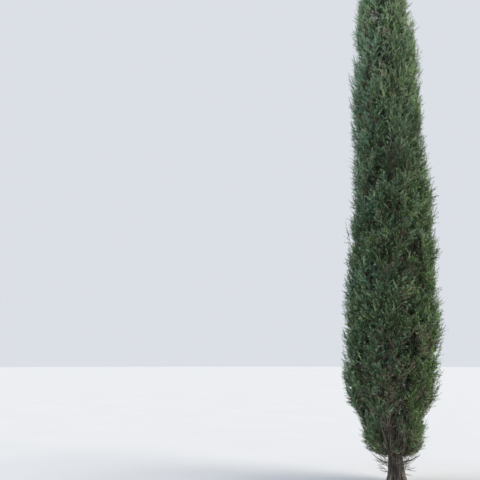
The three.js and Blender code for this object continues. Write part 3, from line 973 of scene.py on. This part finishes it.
@dataclass(frozen=True)
class Palette:
    """Tints of the foliage, each hue in three tones, and how they are dealt out by spray.

    Hues run from blue-green on the left to yellow-green on the right, but hardly in the skirt: that is
    painted light colour, cool light from the left and warm light from the right. Tones run from shaded
    inner sprays, painted shade, to bright outer sprays, painted light and partly their paler fresh
    growth, and get paler towards the tree's top, where more sky reaches them, as painted light too. A
    noise is the sizes of its wider and its finer scatter, and a factor on both.
    The tints of spent and of inner sprays are numbers of tints and the share of each. Each row of
    patches is a bell-shaped patch of the crown's front: its middle and its reach in x and z, how
    brown it is, and how dark, as painted shade for hollows and as painted light where it is negative.
    """

    tints: tuple = (
        ("blue_green", "#32553c", "#4b7356", "#80a78d"),
        ("grey_green", "#384f33", "#58734e", "#95b08a"),
        ("yellow_green", "#3f592a", "#5e7f44", "#9fb97c"),
        ("spent", "#423b35", "#675b4d", "#9a907d"),
    )
    # Spent and inner sprays draw largely shaded tints: painted shade inside the crown.
    spent_tints: tuple = ((9, 10, 11), (0.45, 0.37, 0.18))
    inner_tints: tuple = ((9, 3, 4), (0.25, 0.4, 0.35))
    hue_bias: float = 0.58
    hue_noise: tuple = (0.45, 0.65, 0.62)
    hue_waves: float = 0.8
    hue_shifts: tuple = ((1.2, 0.3), (3.6, 0.0), (4.4, 0.0), (6.2, 0.04))
    hue_evened: float = 0.75
    hue_edges: tuple = (-0.42, 0.42)
    tone: float = 0.5
    tone_by_depth: float = 1.6
    tone_noise: tuple = (0.45, 0.7, 0.6)
    tone_patches: float = 0.45
    tone_waves: float = 0.3
    tone_edges: tuple = (-0.2, 0.85)
    pale_from: float = 3.2
    pale_reach: float = 3.6
    pale_gain: float = 1.05
    low_top: float = 1.1
    low_reach: float = 0.5
    low_gain: float = 0.2
    patches: tuple = (
        (-0.1, 0.74, 0.15, 0.4, 0.55, 0.0),
        (0.2, 0.52, 0.13, 0.13, 0.35, -0.3),
        (0.0, 1.0, 5.0, 0.13, 0.28, 0.0),
        (-0.12, 1.18, 0.32, 0.35, 0.45, 0.0),
        (0.0, 1.44, 0.2, 0.2, 0.5, 0.0),
        (-0.2, 1.5, 0.16, 0.3, 0.35, 0.2),
        (0.33, 1.25, 0.16, 0.25, 0.1, -0.35),
        (0.22, 1.73, 0.24, 0.22, 0.55, -0.3),
        (-0.2, 1.74, 0.14, 0.2, 0.5, 0.3),
        (0.05, 2.3, 0.2, 0.6, 0.22, 0.0),
        (0.15, 2.62, 0.12, 0.15, 0.35, 0.0),
        (-0.09, 2.72, 0.13, 0.2, 0.5, 0.7),
        (0.47, 2.76, 0.08, 0.13, 0.35, 0.0),
        (0.08, 3.07, 0.08, 0.13, 0.4, 0.4),
        (0.4, 3.3, 0.12, 0.35, 0.1, -0.6),
        (0.1, 3.52, 0.1, 0.16, 0.35, 0.4),
        (0.01, 4.05, 0.1, 0.28, 0.4, 0.8),
        (-0.22, 4.98, 0.1, 0.22, 0.35, 0.3),
        (0.0, 5.48, 0.1, 0.22, 0.38, 0.2),
        (0.07, 6.0, 0.12, 0.16, 0.4, 0.2),
        (-0.19, 6.06, 0.08, 0.12, 0.3, 0.0),
    )
    brown_anywhere: float = 0.06
    front_edge: float = 0.15

    def finishes(self) -> list[Material]:
        """Makes one material for each tone of each hue, in order."""
        named = [(f"{hue}_{tone}", tint) for hue, *row in self.tints for tone, tint in zip(TONES, row)]
        return [ScaleLeaf(f"scale_leaf_{name}", tint).build() for name, tint in named]

    def lowness(self, points: Array) -> Array:
        """How far points reach down into the skirt, from 0 to 1: the floor lights it from below."""
        return smoothstep((self.low_top - points[:, 2]) / self.low_reach)

    def patched(self, points: Array) -> tuple[Array, Array]:
        """How brown the crown is, and how much painted shade it gets, by the patches over its front.

        Args:
            points: where the sprays stand.

        Returns:
            How likely each spray is spent, a low share outside the patches, and how much darker it is by
            painted shade.
        """
        x, z, wide, high, brown, dark = np.array(self.patches).T[:, :, None]
        front = np.clip(-points[:, 1] / self.front_edge, 0, 1)
        bell = front * np.exp(-(((points[:, 0] - x) / wide) ** 2) - ((points[:, 2] - z) / high) ** 2)
        return np.maximum((brown * bell).max(0), self.brown_anywhere), (dark * bell).sum(0)

    def deal(self, points: Array, across: Array, depth: Array, plume: Array, seed: int) -> Array:
        """Deals the tints of living sprays out.

        The hue is the place across, as painted light colour, plus broad waves and a scatter by spray. The
        tone falls with depth as painted shade and rises with height as painted light, plus a scatter by
        shoot, one by spray, and narrower waves.

        Args:
            points: where the sprays stand.
            across: their place from left to right, as a share of the crown's radius.
            depth: how far they stand inside the crown's skin, from 0 to 1.
            plume: a scatter from -1 to 1 that the sprays of one shoot share.
            seed: picks the scatter.

        Returns:
            The number of each spray's tint.
        """
        rng = np.random.default_rng(seed)
        count, height, low = len(points), points[:, 2], self.lowness(points)
        wider, finer, both = self.hue_noise
        noise = both * (wider * drift(points, self.hue_waves, seed) + finer * rng.normal(0, 1, count))
        # The hue's shift across, blue-green on the left and yellow-green on the right, is painted light
        # colour: cool light from the left, warm light from the right.
        hue = self.hue_bias * across * (1 - self.hue_evened * low) + noise
        hue = hue + np.interp(height, *zip(*self.hue_shifts))
        # pale is painted light: more sky at the top, and the floor's light in the skirt.
        pale = self.pale_gain * smoothstep((height - self.pale_from) / self.pale_reach) + self.low_gain * low
        wider, finer, both = self.tone_noise
        noise = both * (wider * plume + finer * rng.normal(0, 1, count))
        noise = noise + self.tone_patches * drift(points, self.tone_waves, seed + 1)
        # The patches' dark is painted shade for hollows, and painted light where it is negative.
        brown, dark = self.patched(points)
        # The tone falls with depth as painted shade of the outer sprays over the inner ones.
        tone = np.digitize(self.tone - self.tone_by_depth * depth + pale + noise - dark, self.tone_edges)
        is_spent = rng.uniform(0, 1, count) < brown
        family = np.where(is_spent, len(self.tints) - 1, np.digitize(hue, self.hue_edges))
        return len(TONES) * family + tone

    def deal_dark(self, kind: SprayKind, points: Array, seed: int) -> Array:
        """Deals the tints of spent and inner sprays out at random, most of them dark, as painted shade.

        Args:
            kind: which of the two.
            points: where the sprays stand.
            seed: picks the scatter.

        Returns:
            The number of each spray's tint, one paler for some of those low in the skirt, as painted light.
        """
        rng = np.random.default_rng(seed)
        palest = len(TONES) * len(self.tints) - 1
        tints, shares = self.spent_tints if kind is SprayKind.SPENT else self.inner_tints
        dealt = rng.choice(tints, len(points), p=shares)
        is_paler = rng.uniform(0, 1, len(points)) < self.lowness(points)
        return np.minimum(dealt + is_paler, palest)


@dataclass(frozen=True)
class SprayPattern:
    """Patterns of one kind of spray, a unit long: a twiglet along +Z with branchlets to its sides.

    Every branchlet is a pointed blade of two faces, folded a little along its middle. Branchlets low
    on the twiglet are a tone darker, as painted shade at the spray's foot, and those near its tip are a
    tone paler, partly for their paler fresh growth and partly as painted light.
    """

    kind: SprayKind = SprayKind.LIVING
    branchlets: int = 11
    patterns: int = 12
    foot: float = -0.1
    length: float = 0.46
    shortening: float = 0.5
    width: float = 0.066
    keel: float = 0.35
    waist: float = 0.4
    lean: tuple = (0.85, 0.45)
    spread: float = 0.8
    reach: tuple = (0.06, 0.8)
    place_scatter: float = 0.02
    size_scatter: tuple = (0.8, 1.2)
    length_scatter: tuple = (0.8, 1.15)
    tone_edges: tuple = (0.2, 0.7)
    seed: int = 41

    def shades(self) -> Array:
        """Tones by which each triangle is off its spray's own: -1 shade, 0 or 1 light, all painted; 0 for
        the twiglet.
        """
        tones = np.digitize(np.linspace(*self.reach, self.branchlets), self.tone_edges) - 1
        return np.repeat(np.append(tones, 0), 2)

    def blades(self, start: Array, end: Array, width: Array, roll: Array) -> Array:
        """Blades between points: two ends, and two corners beside the waist, sunk by the keel.

        Args:
            start: first ends.
            end: second ends.
            width: widths at the waist.
            roll: turns about their own lengths.

        Returns:
            Points of shape (4 blades, 3).
        """
        along = unit(end - start)
        level = unit(np.cross(along, ASLANT))
        beside = turned(level, np.cross(along, level), roll)
        sunk = np.cross(along, beside) * (width * self.keel / 2)[:, None]
        middle = lerp(start, end, self.waist) - sunk
        half = beside * (width / 2)[:, None]
        return np.stack([start, middle + half, end, middle - half], 1).reshape(-1, 3)

    def build(self) -> tuple[Array, Array]:
        """Makes the patterns.

        Returns:
            Points of shape (patterns, points, 3), and the triangles that all patterns share.
        """
        rng = np.random.default_rng(self.seed)
        count = self.branchlets
        made = []
        for _ in range(self.patterns):
            place = np.linspace(*self.reach, count) + rng.normal(0, self.place_scatter, count)
            round_about = math.pi * np.arange(count) + rng.normal(0, self.spread, count)
            lean = lerp(*self.lean, place) * rng.uniform(*self.size_scatter, count)
            length = self.length * (1 - self.shortening * place) * rng.uniform(*self.length_scatter, count)
            start = UP * place[:, None]
            end = start + turned(UP, arms(round_about), lean) * length[:, None]
            start, end = np.concatenate([start, self.foot * UP[None]]), np.concatenate([end, UP[None]])
            width = self.width * rng.uniform(*self.size_scatter, count + 1)
            made.append(self.blades(start, end, width, rng.uniform(0, 2 * math.pi, count + 1)))
        first = 4 * np.arange(count + 1)[:, None, None]
        return np.array(made), (np.array([[0, 1, 2], [0, 2, 3]]) + first).reshape(-1, 3)


@dataclass
class Shoots:
    """Shoots in arrays, each a curve from its foot to its end by way of a turn."""

    plan: TreePlan
    level: Array
    foot: Array
    turn: Array
    end: Array
    scatter: Array
    is_bare: Array
    thickness: float = 1.0
    radii: tuple = (0.0045, 0.0014)
    sides: int = 3
    rings: int = 6
    nudge: tuple = (1e-6, 0, 0)
    seed: int = 52

    def points(self, share: Array) -> Array:
        """Points of the shoots at shares of their length."""
        return bezier(self.foot, self.turn, self.end, share)

    def wood(self, skins: int) -> Shell:
        """The shoots' own wood.

        Args:
            skins: number of finishes, dealt out by shoot.

        Returns:
            All the shoots as one shell.
        """
        share = np.linspace(0, 1, self.rings)
        taper = self.thickness * lerp(*self.radii, share)
        sideways = unit(np.cross(self.end - self.foot, UP) + np.array(self.nudge))
        finish = np.random.default_rng(self.seed).integers(0, skins, len(self.end))
        return tubes(self.points(share), taper, sideways, self.sides, finish)


@dataclass(frozen=True)
class Grower:
    """Grows shoots from the masses' limbs, their ends spread evenly over the crown's skin.

    The lowest masses are tufts: a shoot near a tuft's side starts higher up, so the tufts are
    rounded below. Towards the front they part over the trunk, where the shoots stay bare.
    """

    plan: TreePlan
    per_square_metre: float
    out: tuple
    side: float
    rise: tuple
    bend: tuple
    seed: int
    falloff: float = 0.0
    unevenness: float = 0.1
    waves: float = 0.4
    far_share: float = 0.0
    far_out: tuple = (0.92, 0.97)
    most_out: float = 0.94
    thickness: float = 1.0
    by_level: tuple = (1.0,) * 8
    skin_at: float = 0.9
    fewest: int = 6
    spire_top: float = 0.6
    spire_rise: float = 0.75
    tuft_side: float = 0.86
    tuft_lift: float = 0.7
    tuft_round: float = 1.5
    parting: float = math.radians(-106)
    parting_half: float = math.radians(27)
    parting_flare: float = math.radians(11)
    parting_knee: tuple = (0.95, 0.25)
    parting_top: float = 1.1
    parting_raggedness: float = 0.32

    def count_in(self, level: int, sector: int) -> int:
        """Number of shoots in a mass, by the area of its part of the crown's skin.

        Args:
            level: its level.
            sector: its sector.

        Returns:
            The number.
        """
        slope, foot = self.plan.divider(np.minimum([level, level + 1], self.plan.levels), sector)
        low, high = foot + slope * self.plan.crown_radius(foot + self.skin_at)
        if level == self.plan.levels:
            high = self.plan.height
        radius = self.plan.crown_radius((low + high) / 2)
        density = self.per_square_metre * self.by_level[level]
        return max(self.fewest, round(density * abs(high - low) * radius * self.plan.sector_step))

    def grow(self, levels: Array, sectors: Array, limbs: Array) -> Shoots:
        """Grows the shoots.

        Args:
            levels: each mass's level.
            sectors: each mass's sector.
            limbs: each mass's limb, of shape (masses, points, 3).

        Returns:
            The shoots.
        """
        plan = self.plan
        rng = np.random.default_rng(self.seed)
        counts = [self.count_in(level, sector) for level, sector in zip(levels, sectors)]
        mass = np.repeat(np.arange(len(counts)), counts)
        number = np.concatenate([np.arange(count) for count in counts])
        level, sector = levels[mass], sectors[mass]
        start = mass * GOLDEN_SHARE
        side = self.side * (2 * ((start + number / PLASTIC) % 1) - 1)
        up = (0.5 + start + number / PLASTIC**2) % 1
        is_tuft, is_spire = level == 0, level == plan.levels
        side = np.where(is_tuft, self.tuft_side * side, side)
        up = np.where(is_tuft, lerp(self.tuft_lift * np.abs(side) ** self.tuft_round, 1.0, up), up)
        up = np.where(is_spire, self.spire_top * up, up)
        out = rng.uniform(*self.out, len(mass)) - self.falloff * np.abs(side) ** 3
        probe = plan.point_in(level, sector, out, side, up)
        out = out * (1 + self.unevenness * drift(probe, self.waves, self.seed))
        is_far = rng.uniform(0, 1, len(mass)) < self.far_share
        out = np.where(is_far, rng.uniform(*self.far_out, len(mass)), np.minimum(out, self.most_out))
        end = plan.point_in(level, sector, out, side, up)
        end = end + plan.outwards(end) * plan.fullness(end)[:, None]
        rise = rng.uniform(*self.rise, len(mass)) * np.where(is_spire, self.spire_rise, 1.0)
        off = np.abs(limbs[mass, :, 2] - (end[:, 2] - rise)[:, None])
        foot = limbs[mass, off.argmin(1)]
        turn = rising_bend(foot, end, rng.uniform(*self.bend, len(mass))[:, None])
        scattered = rng.uniform(-1, 1, len(mass))
        is_bare = self.is_parted(end, scattered)
        return Shoots(plan, level, foot, turn, end, scattered, is_bare, self.thickness)

    def is_parted(self, end: Array, scattered: Array) -> Array:
        """Which shoots stand in the parting over the trunk, by their direction from the axis.

        The parting's half angle grows by the flare from a knee downwards.

        Args:
            end: ends of the shoots.
            scattered: a scatter from -1 to 1 that makes the parting's top ragged.

        Returns:
            True for the shoots that stay bare.
        """
        x, y, height = end.T
        aside = np.abs((np.arctan2(y, x) - self.parting + math.pi) % (2 * math.pi) - math.pi)
        knee, reach = self.parting_knee
        half = self.parting_half + self.parting_flare * smoothstep((knee - height) / reach)
        return (aside < half) & (height < self.parting_top + self.parting_raggedness * scattered)


@dataclass(frozen=True)
class Leaders:
    """The thin shoots that fan out of the tree's top. The first, its highest point, leans left."""

    plan: TreePlan
    count: int = 30
    tops: tuple = (7.98, 7.25)
    aside: tuple = (0.05, 0.24)
    crowding: tuple = (0.8, 0.6)
    uneven: tuple = (0.75, 1.1)
    span: tuple = (0.75, 0.35)
    lean: float = 0.3
    first_angle: float = math.radians(190)
    turn: float = 2.4
    tone: float = 0.4
    thickness: float = 0.55
    seed: int = 56

    def grow(self) -> Shoots:
        """Makes the shoots: each leaves the axis, rises along it and parts from it near its tip.

        Returns:
            The shoots.
        """
        share = np.arange(self.count) / (self.count - 1)
        by_top, by_reach = self.crowding
        top = lerp(*self.tops, share**by_top)
        uneven = np.random.default_rng(self.seed).uniform(*self.uneven, self.count)
        reach = lerp(*self.aside, share**by_reach) * uneven
        reach[0] = self.aside[0]
        arm = arms(self.first_angle + self.turn * np.arange(self.count)) * reach[:, None]
        foot = self.plan.axis(top - lerp(*self.span, share))
        turn = self.plan.axis(lerp(foot[:, 2], top, 0.5)) + arm * self.lean
        level, tone = np.full(self.count, self.plan.levels), np.full(self.count, self.tone)
        end = self.plan.axis(top) + arm
        return Shoots(self.plan, level, foot, turn, end, tone, level < 0, self.thickness)


@dataclass(frozen=True)
class Opening:
    """A thin place in the upper crown where specks of sky show: few sprays stand round a slanted line."""

    place: tuple = (-0.01, 0.0, 6.61)
    way: tuple = (0.22, 0.91, 0.56)
    reach: float = 0.1
    left_in: float = 0.1
    seed: int = 71

    def spares(self, points: Array) -> Array:
        """Which sprays stay.

        The chance to go is e to the minus fourth power of the distance over the reach, times what
        isn't left in.

        Args:
            points: middles of the sprays.

        Returns:
            True for those that stay.
        """
        aside = np.linalg.norm(np.cross(points - np.array(self.place), unit(np.array(self.way))), axis=1)
        chance = (1 - self.left_in) * np.exp(-((aside / self.reach) ** 4))
        return np.random.default_rng(self.seed).uniform(0, 1, len(points)) > chance


@dataclass(frozen=True)
class SprayRule:
    """How sprays of one kind stand on their shoots.

    stretch is the part of the shoot that bears them, lean their angle to it at both ends of that
    part, arc how far round from the outside they stand, and stray the share of them that leans far
    out of the plume. proud is how far their tips may pass the crown's outline. On a bare shoot only
    spent sprays stand, and only above bare_top. From hang_top downwards all of them hang.
    """

    pattern: SprayPattern
    per_shoot: int
    stretch: tuple
    lean: tuple
    arc: float
    length: tuple
    proud: tuple
    seed: int
    stray: float = 0.0
    stray_lean: tuple = (0.8, 1.3)
    stray_arc: float = 0.5
    uneven: float = 0.03
    uneven_lean: tuple = (0.7, 1.25)
    last_from: float = 0.97
    last_lean: float = 0.08
    ahead: float = 0.02
    lift: float = 0.2
    hang: tuple = (0.6, 1.0, 1.1)
    hang_top: float = 0.64
    hang_reach: float = 0.26
    roll: float = 1.0
    bare_top: float = 0.55
    shortest: float = 0.3
    spare_share: float = 0.025


@dataclass
class Sprays:
    """Sprays on shoots, in arrays. At the skirt's foot they hang, more on some shoots than on others."""

    shoots: Shoots
    rule: SprayRule

    def __post_init__(self) -> None:
        """Places the sprays: their feet along the shoots, their directions fanned out round them."""
        shoots, rule, kind = self.shoots, self.rule, self.rule.pattern.kind
        rng = np.random.default_rng(rule.seed)
        self.plan = shoots.plan
        spread = np.arange(rule.per_shoot) / max(1, rule.per_shoot - 1)
        scattered = rng.normal(0, rule.uneven, (len(shoots.end), rule.per_shoot))
        share = np.clip(spread + scattered, 0, 1)
        along = lerp(*rule.stretch, share)
        self.foot, next_on = (shoots.points(at).reshape(-1, 3) for at in (along, along + rule.ahead))
        share = share.ravel()
        ahead = unit(next_on - self.foot)
        near = square_to(self.plan.outwards(self.foot), ahead)
        count = len(share)
        is_stray = rng.uniform(0, 1, count) < rule.stray
        fan = rule.arc * rng.uniform(-1, 1, count) * np.where(is_stray, rule.stray_arc, 1.0)
        arm = turned(near, np.cross(ahead, near), fan)
        lean = lerp(*rule.lean, share) * rng.uniform(*rule.uneven_lean, count)
        lean = np.where(is_stray, rng.uniform(*rule.stray_lean, count), lean)
        lean = np.where((share > rule.last_from) & (kind is SprayKind.LIVING), rule.last_lean, lean)
        of_shoots = (shoots.level, shoots.scatter, shoots.is_bare)
        self.level, self.plume, is_bare = (np.repeat(values, rule.per_shoot) for values in of_shoots)
        low = smoothstep((rule.hang_top - self.foot[:, 2]) / rule.hang_reach)
        least, most, hang = rule.hang
        lift = rule.lift - hang * low * lerp(least, most, self.plume)
        self.way = unit(turned(ahead, arm, lean) + UP * lift[:, None])
        is_high_spent = (kind is SprayKind.SPENT) & (self.foot[:, 2] > rule.bare_top)
        size = rng.uniform(*rule.length, count)
        self.size = size * self.room(size, rng.uniform(*rule.proud, count))
        middle = self.foot + self.way * self.size[:, None] / 2
        self.is_kept = (~is_bare | is_high_spent) & Opening().spares(middle)
        face = unit(np.cross(self.way, arm + TINY))
        turn = rule.roll * rng.uniform(-1, 1, count)
        self.across = turned(face, np.cross(self.way, face), turn)
        self.pick = rng.integers(0, rule.pattern.patterns, count)

    def room(self, size: Array, proud: Array) -> Array:
        """Factor by which each spray is shortened so that its tip stays near the crown's outline.

        Args:
            size: lengths before.
            proud: how far each tip may pass the outline, but hardly past the box of the CAD model.

        Returns:
            Factors up to 1.
        """
        tip = self.foot + self.way * size[:, None]
        inner, outer = self.plan.reach(self.foot), self.plan.reach(tip)
        most = self.plan.crown_radius(tip[:, 2]) + self.plan.fullness(tip) + proud - inner
        low, high = np.array(cad_box)
        spare = self.rule.spare_share * (high - low)
        step = np.where(tip > self.foot, 1.0, -1.0) * np.maximum(np.abs(tip - self.foot), TINY)
        wall = np.where(tip > self.foot, high + spare, low - spare)
        wall[:, 2] = self.plan.height
        boxed = ((wall - self.foot) / step).min(1)
        return np.clip(np.minimum(most / np.maximum(outer - inner, TINY), boxed), self.rule.shortest, 1.0)

    def tints(self, palette: Palette) -> Array:
        """The number of each spray's tint.

        Args:
            palette: the tints.

        Returns:
            The numbers.
        """
        kind, seed = self.rule.pattern.kind, self.rule.seed
        if kind is not SprayKind.LIVING:
            return palette.deal_dark(kind, self.foot, seed)
        radius = self.plan.crown_radius(self.foot[:, 2])
        across = (self.foot - self.plan.axis(self.foot[:, 2]))[:, 0] / radius
        return palette.deal(self.foot, across, 1 - self.plan.reach(self.foot) / radius, self.plume, seed)

    def shell(self, level: int, tints: Array) -> Shell:
        """One level's sprays as one shell: pattern points, scaled and turned, plus their feet.

        Args:
            level: the level.
            tints: the number of each spray's tint, for all sprays.

        Returns:
            The shell.
        """
        chosen = (self.level == level) & self.is_kept
        patterns, triangles = self.rule.pattern.build()
        along, across = self.way[chosen], self.across[chosen]
        frames = np.stack([across, np.cross(along, across), along], 1) * self.size[chosen][:, None, None]
        points = np.einsum("nvk,nkj->nvj", patterns[self.pick[chosen]], frames) + self.foot[chosen][:, None]
        tones = len(TONES)
        family, tone = np.divmod(tints[chosen][:, None], tones)
        # Each blade's tone shifts by its place on the spray: painted shade at the foot, painted light and
        # paler fresh growth at the tip.
        finish = tones * family + np.clip(tone + self.rule.pattern.shades(), 0, tones - 1)
        return Shell.repeated(points, triangles, finish.ravel())


@dataclass
class Foliage:
    """All shoots and sprays of the crown, with one piece of sprays to a level."""

    plan: TreePlan
    boughs: Boughs
    palette: Palette
    living: SprayPattern = SprayPattern()
    spent: SprayPattern = SprayPattern(SprayKind.SPENT, 7, width=0.06, length=0.6, spread=1.2, seed=43)
    inner: SprayPattern = SprayPattern(SprayKind.INNER, width=0.07, length=0.52, spread=1.2, seed=44)
    feather: SprayPattern = SprayPattern(
        branchlets=6, width=0.05, length=0.36, lean=(0.65, 0.35), spread=0.6, seed=45
    )

    def grow(self) -> tuple[list[Shoots], list[Sprays]]:
        """Grows the outer shoots, the inner twigs and the leaders, and the sprays on each.

        Returns:
            The shoots and the sprays.
        """
        level, sector, limbs, _ = self.boughs.paths()
        outer_grower = Grower(
            self.plan, 52.0, out=(0.76, 0.92), side=1.04, rise=(0.28, 0.5), bend=(0.45, 0.8), seed=51,
            falloff=0.03, unevenness=0.06, far_share=0.15,
        )
        inner_grower = Grower(
            self.plan, 30.0, out=(0.45, 0.76), side=1.25, rise=(0.25, 0.5), bend=(0.6, 0.8), seed=53,
            thickness=1.2, by_level=(1.4, 1.4, 1.0, 1.0, 1.1, 1.3, 1.5, 1.3),
        )
        outer, inner = (grower.grow(level, sector, limbs) for grower in (outer_grower, inner_grower))
        leaders = Leaders(self.plan).grow()
        # Shoots, pattern, sprays to a shoot, stretch, lean, arc, length, proud, seed and stray.
        rows = (
            (outer, self.living, 22, (0.4, 1.0), (1.1, 0.45), 2.1, (0.075, 0.12), (-0.11, -0.015), 61, 0.2),
            (outer, self.feather, 6, (0.7, 1.0), (1.15, 0.7), 1.4, (0.1, 0.17), (-0.03, 0.05), 65),
            (outer, self.spent, 3, (0.12, 0.6), (1.1, 0.8), 3.1, (0.11, 0.18), (-0.1, -0.04), 62),
            (inner, self.inner, 12, (0.25, 1.0), (1.1, 0.6), 3.1, (0.125, 0.2), (-0.12, -0.06), 63),
            (leaders, self.living, 19, (0.25, 1.0), (1.0, 0.45), 3.1, (0.06, 0.105), (0.03, 0.06), 64),
        )
        return [outer, inner, leaders], [Sprays(shoots, SprayRule(*rule)) for shoots, *rule in rows]

    def build(self, skins: list[Material]) -> list[Object]:
        """Makes the pieces that stand for the CAD masses.

        Args:
            skins: the shoots' finishes.

        Returns:
            The pieces.
        """
        groups, grown = self.grow()
        finishes = self.palette.finishes()
        wood = Shell.joined([shoots.wood(len(skins)) for shoots in groups])
        pieces = [dressed(wood.piece("shoots_wood", skins, True), [])]
        tints = [sprays.tints(self.palette) for sprays in grown]
        log.info("%d outer shoots, %d living sprays", len(groups[0].end), len(grown[0].foot))
        for number in range(self.plan.levels + 1):
            shells = [sprays.shell(number, dealt) for sprays, dealt in zip(grown, tints)]
            name, nodes = str(number), [f"foliage_{number}_{s}" for s in range(self.plan.sectors)]
            if number == self.plan.levels:
                name, nodes = "spire", ["foliage_spire"]
            piece = Shell.joined(shells).piece(f"sprays_{name}", finishes, False)
            pieces.append(dressed(piece, nodes))
        return pieces


# Studio


@dataclass(frozen=True)
class SoftLamp:
    """A broad distant lamp: its height, the side it comes from, its strength and its tint.

    A side of 0 is the camera's own, and a quarter turn is the right.
    """

    name: str
    height: float
    side: float
    strength: float
    tint: str
    angle: float = math.radians(40)

    def build(self) -> None:
        """Makes the lamp."""
        lamp = bpy.data.lights.new(self.name, "SUN")
        lamp.energy = self.strength
        lamp.angle = self.angle
        lamp.color = linear(self.tint)[:3]
        made = bpy.data.objects.new(self.name, lamp)
        made.rotation_euler = (math.pi / 2 - self.height, 0.0, self.side)
        bpy.context.scene.collection.objects.link(made)


@dataclass
class Studio:
    """A pale floor under an even pale sky, soft lamps from both sides, and the photo's camera."""

    eye: tuple = (-2.020, -8.193, 1.555)
    tilt: float = math.radians(11.218)
    lens: float = 45.0
    floor_radius: float = 120.0
    floor_sides: int = 64
    sky: str = "#e6eaf1"
    sky_strength: float = 0.9
    lamps: tuple = (
        SoftLamp("key", math.radians(42), math.radians(84), 3.4, "#fff4e4"),
        SoftLamp("fill", math.radians(40), math.radians(-96), 1.8, "#eef3ff"),
    )

    def build(self) -> None:
        """Makes the floor, the sky, the lamps and the camera."""
        scene = bpy.context.scene
        self.make_floor()
        scene.world = bpy.data.worlds.new("pale_sky")
        tree = emptied(scene.world)
        glow = add_node(tree, "Background", {"Color": linear(self.sky), "Strength": self.sky_strength})
        add_node(tree, "OutputWorld", links={"Surface": glow.outputs["Background"]})
        scene.view_settings.view_transform = "Standard"
        for lamp in self.lamps:
            lamp.build()
        scene.camera = bpy.data.objects.new("photo_camera", bpy.data.cameras.new("photo_camera"))
        scene.camera.data.lens = self.lens
        scene.camera.location = self.eye
        scene.camera.rotation_euler = (math.pi / 2 + self.tilt, 0.0, 0.0)
        scene.collection.objects.link(scene.camera)

    def make_floor(self) -> None:
        """Makes the floor: a fan of triangles from its middle to a wide ring."""
        sides = self.floor_sides
        ring = arms(round_angles(sides)) * self.floor_radius
        around = np.arange(sides)
        triangles = np.stack([np.full(sides, sides), around, (around + 1) % sides], -1)
        shell = Shell(np.concatenate([ring, np.zeros((1, 3))]), triangles, np.zeros(sides, int))
        shell.piece("floor", [StudioFloor().build()], False)


def main() -> None:
    """Builds every piece of the tree and the studio."""
    logging.basicConfig(level=logging.INFO, format="%(message)s")
    Studio().build()
    plan = TreePlan()
    bark = JuniperBark().build()
    tints = {"brown": "#534a40", "grey_brown": "#655a4e", "grey": "#858075"}
    skins = [TwigSkin(f"twig_skin_{name}", tint).build() for name, tint in tints.items()]
    Trunk(plan).build(bark)
    boughs = Boughs(plan)
    boughs.build(bark)
    DeadTwigs(plan).build(skins)
    Foliage(plan, boughs, Palette()).build(skins)


if __name__ == "__main__":
    main()
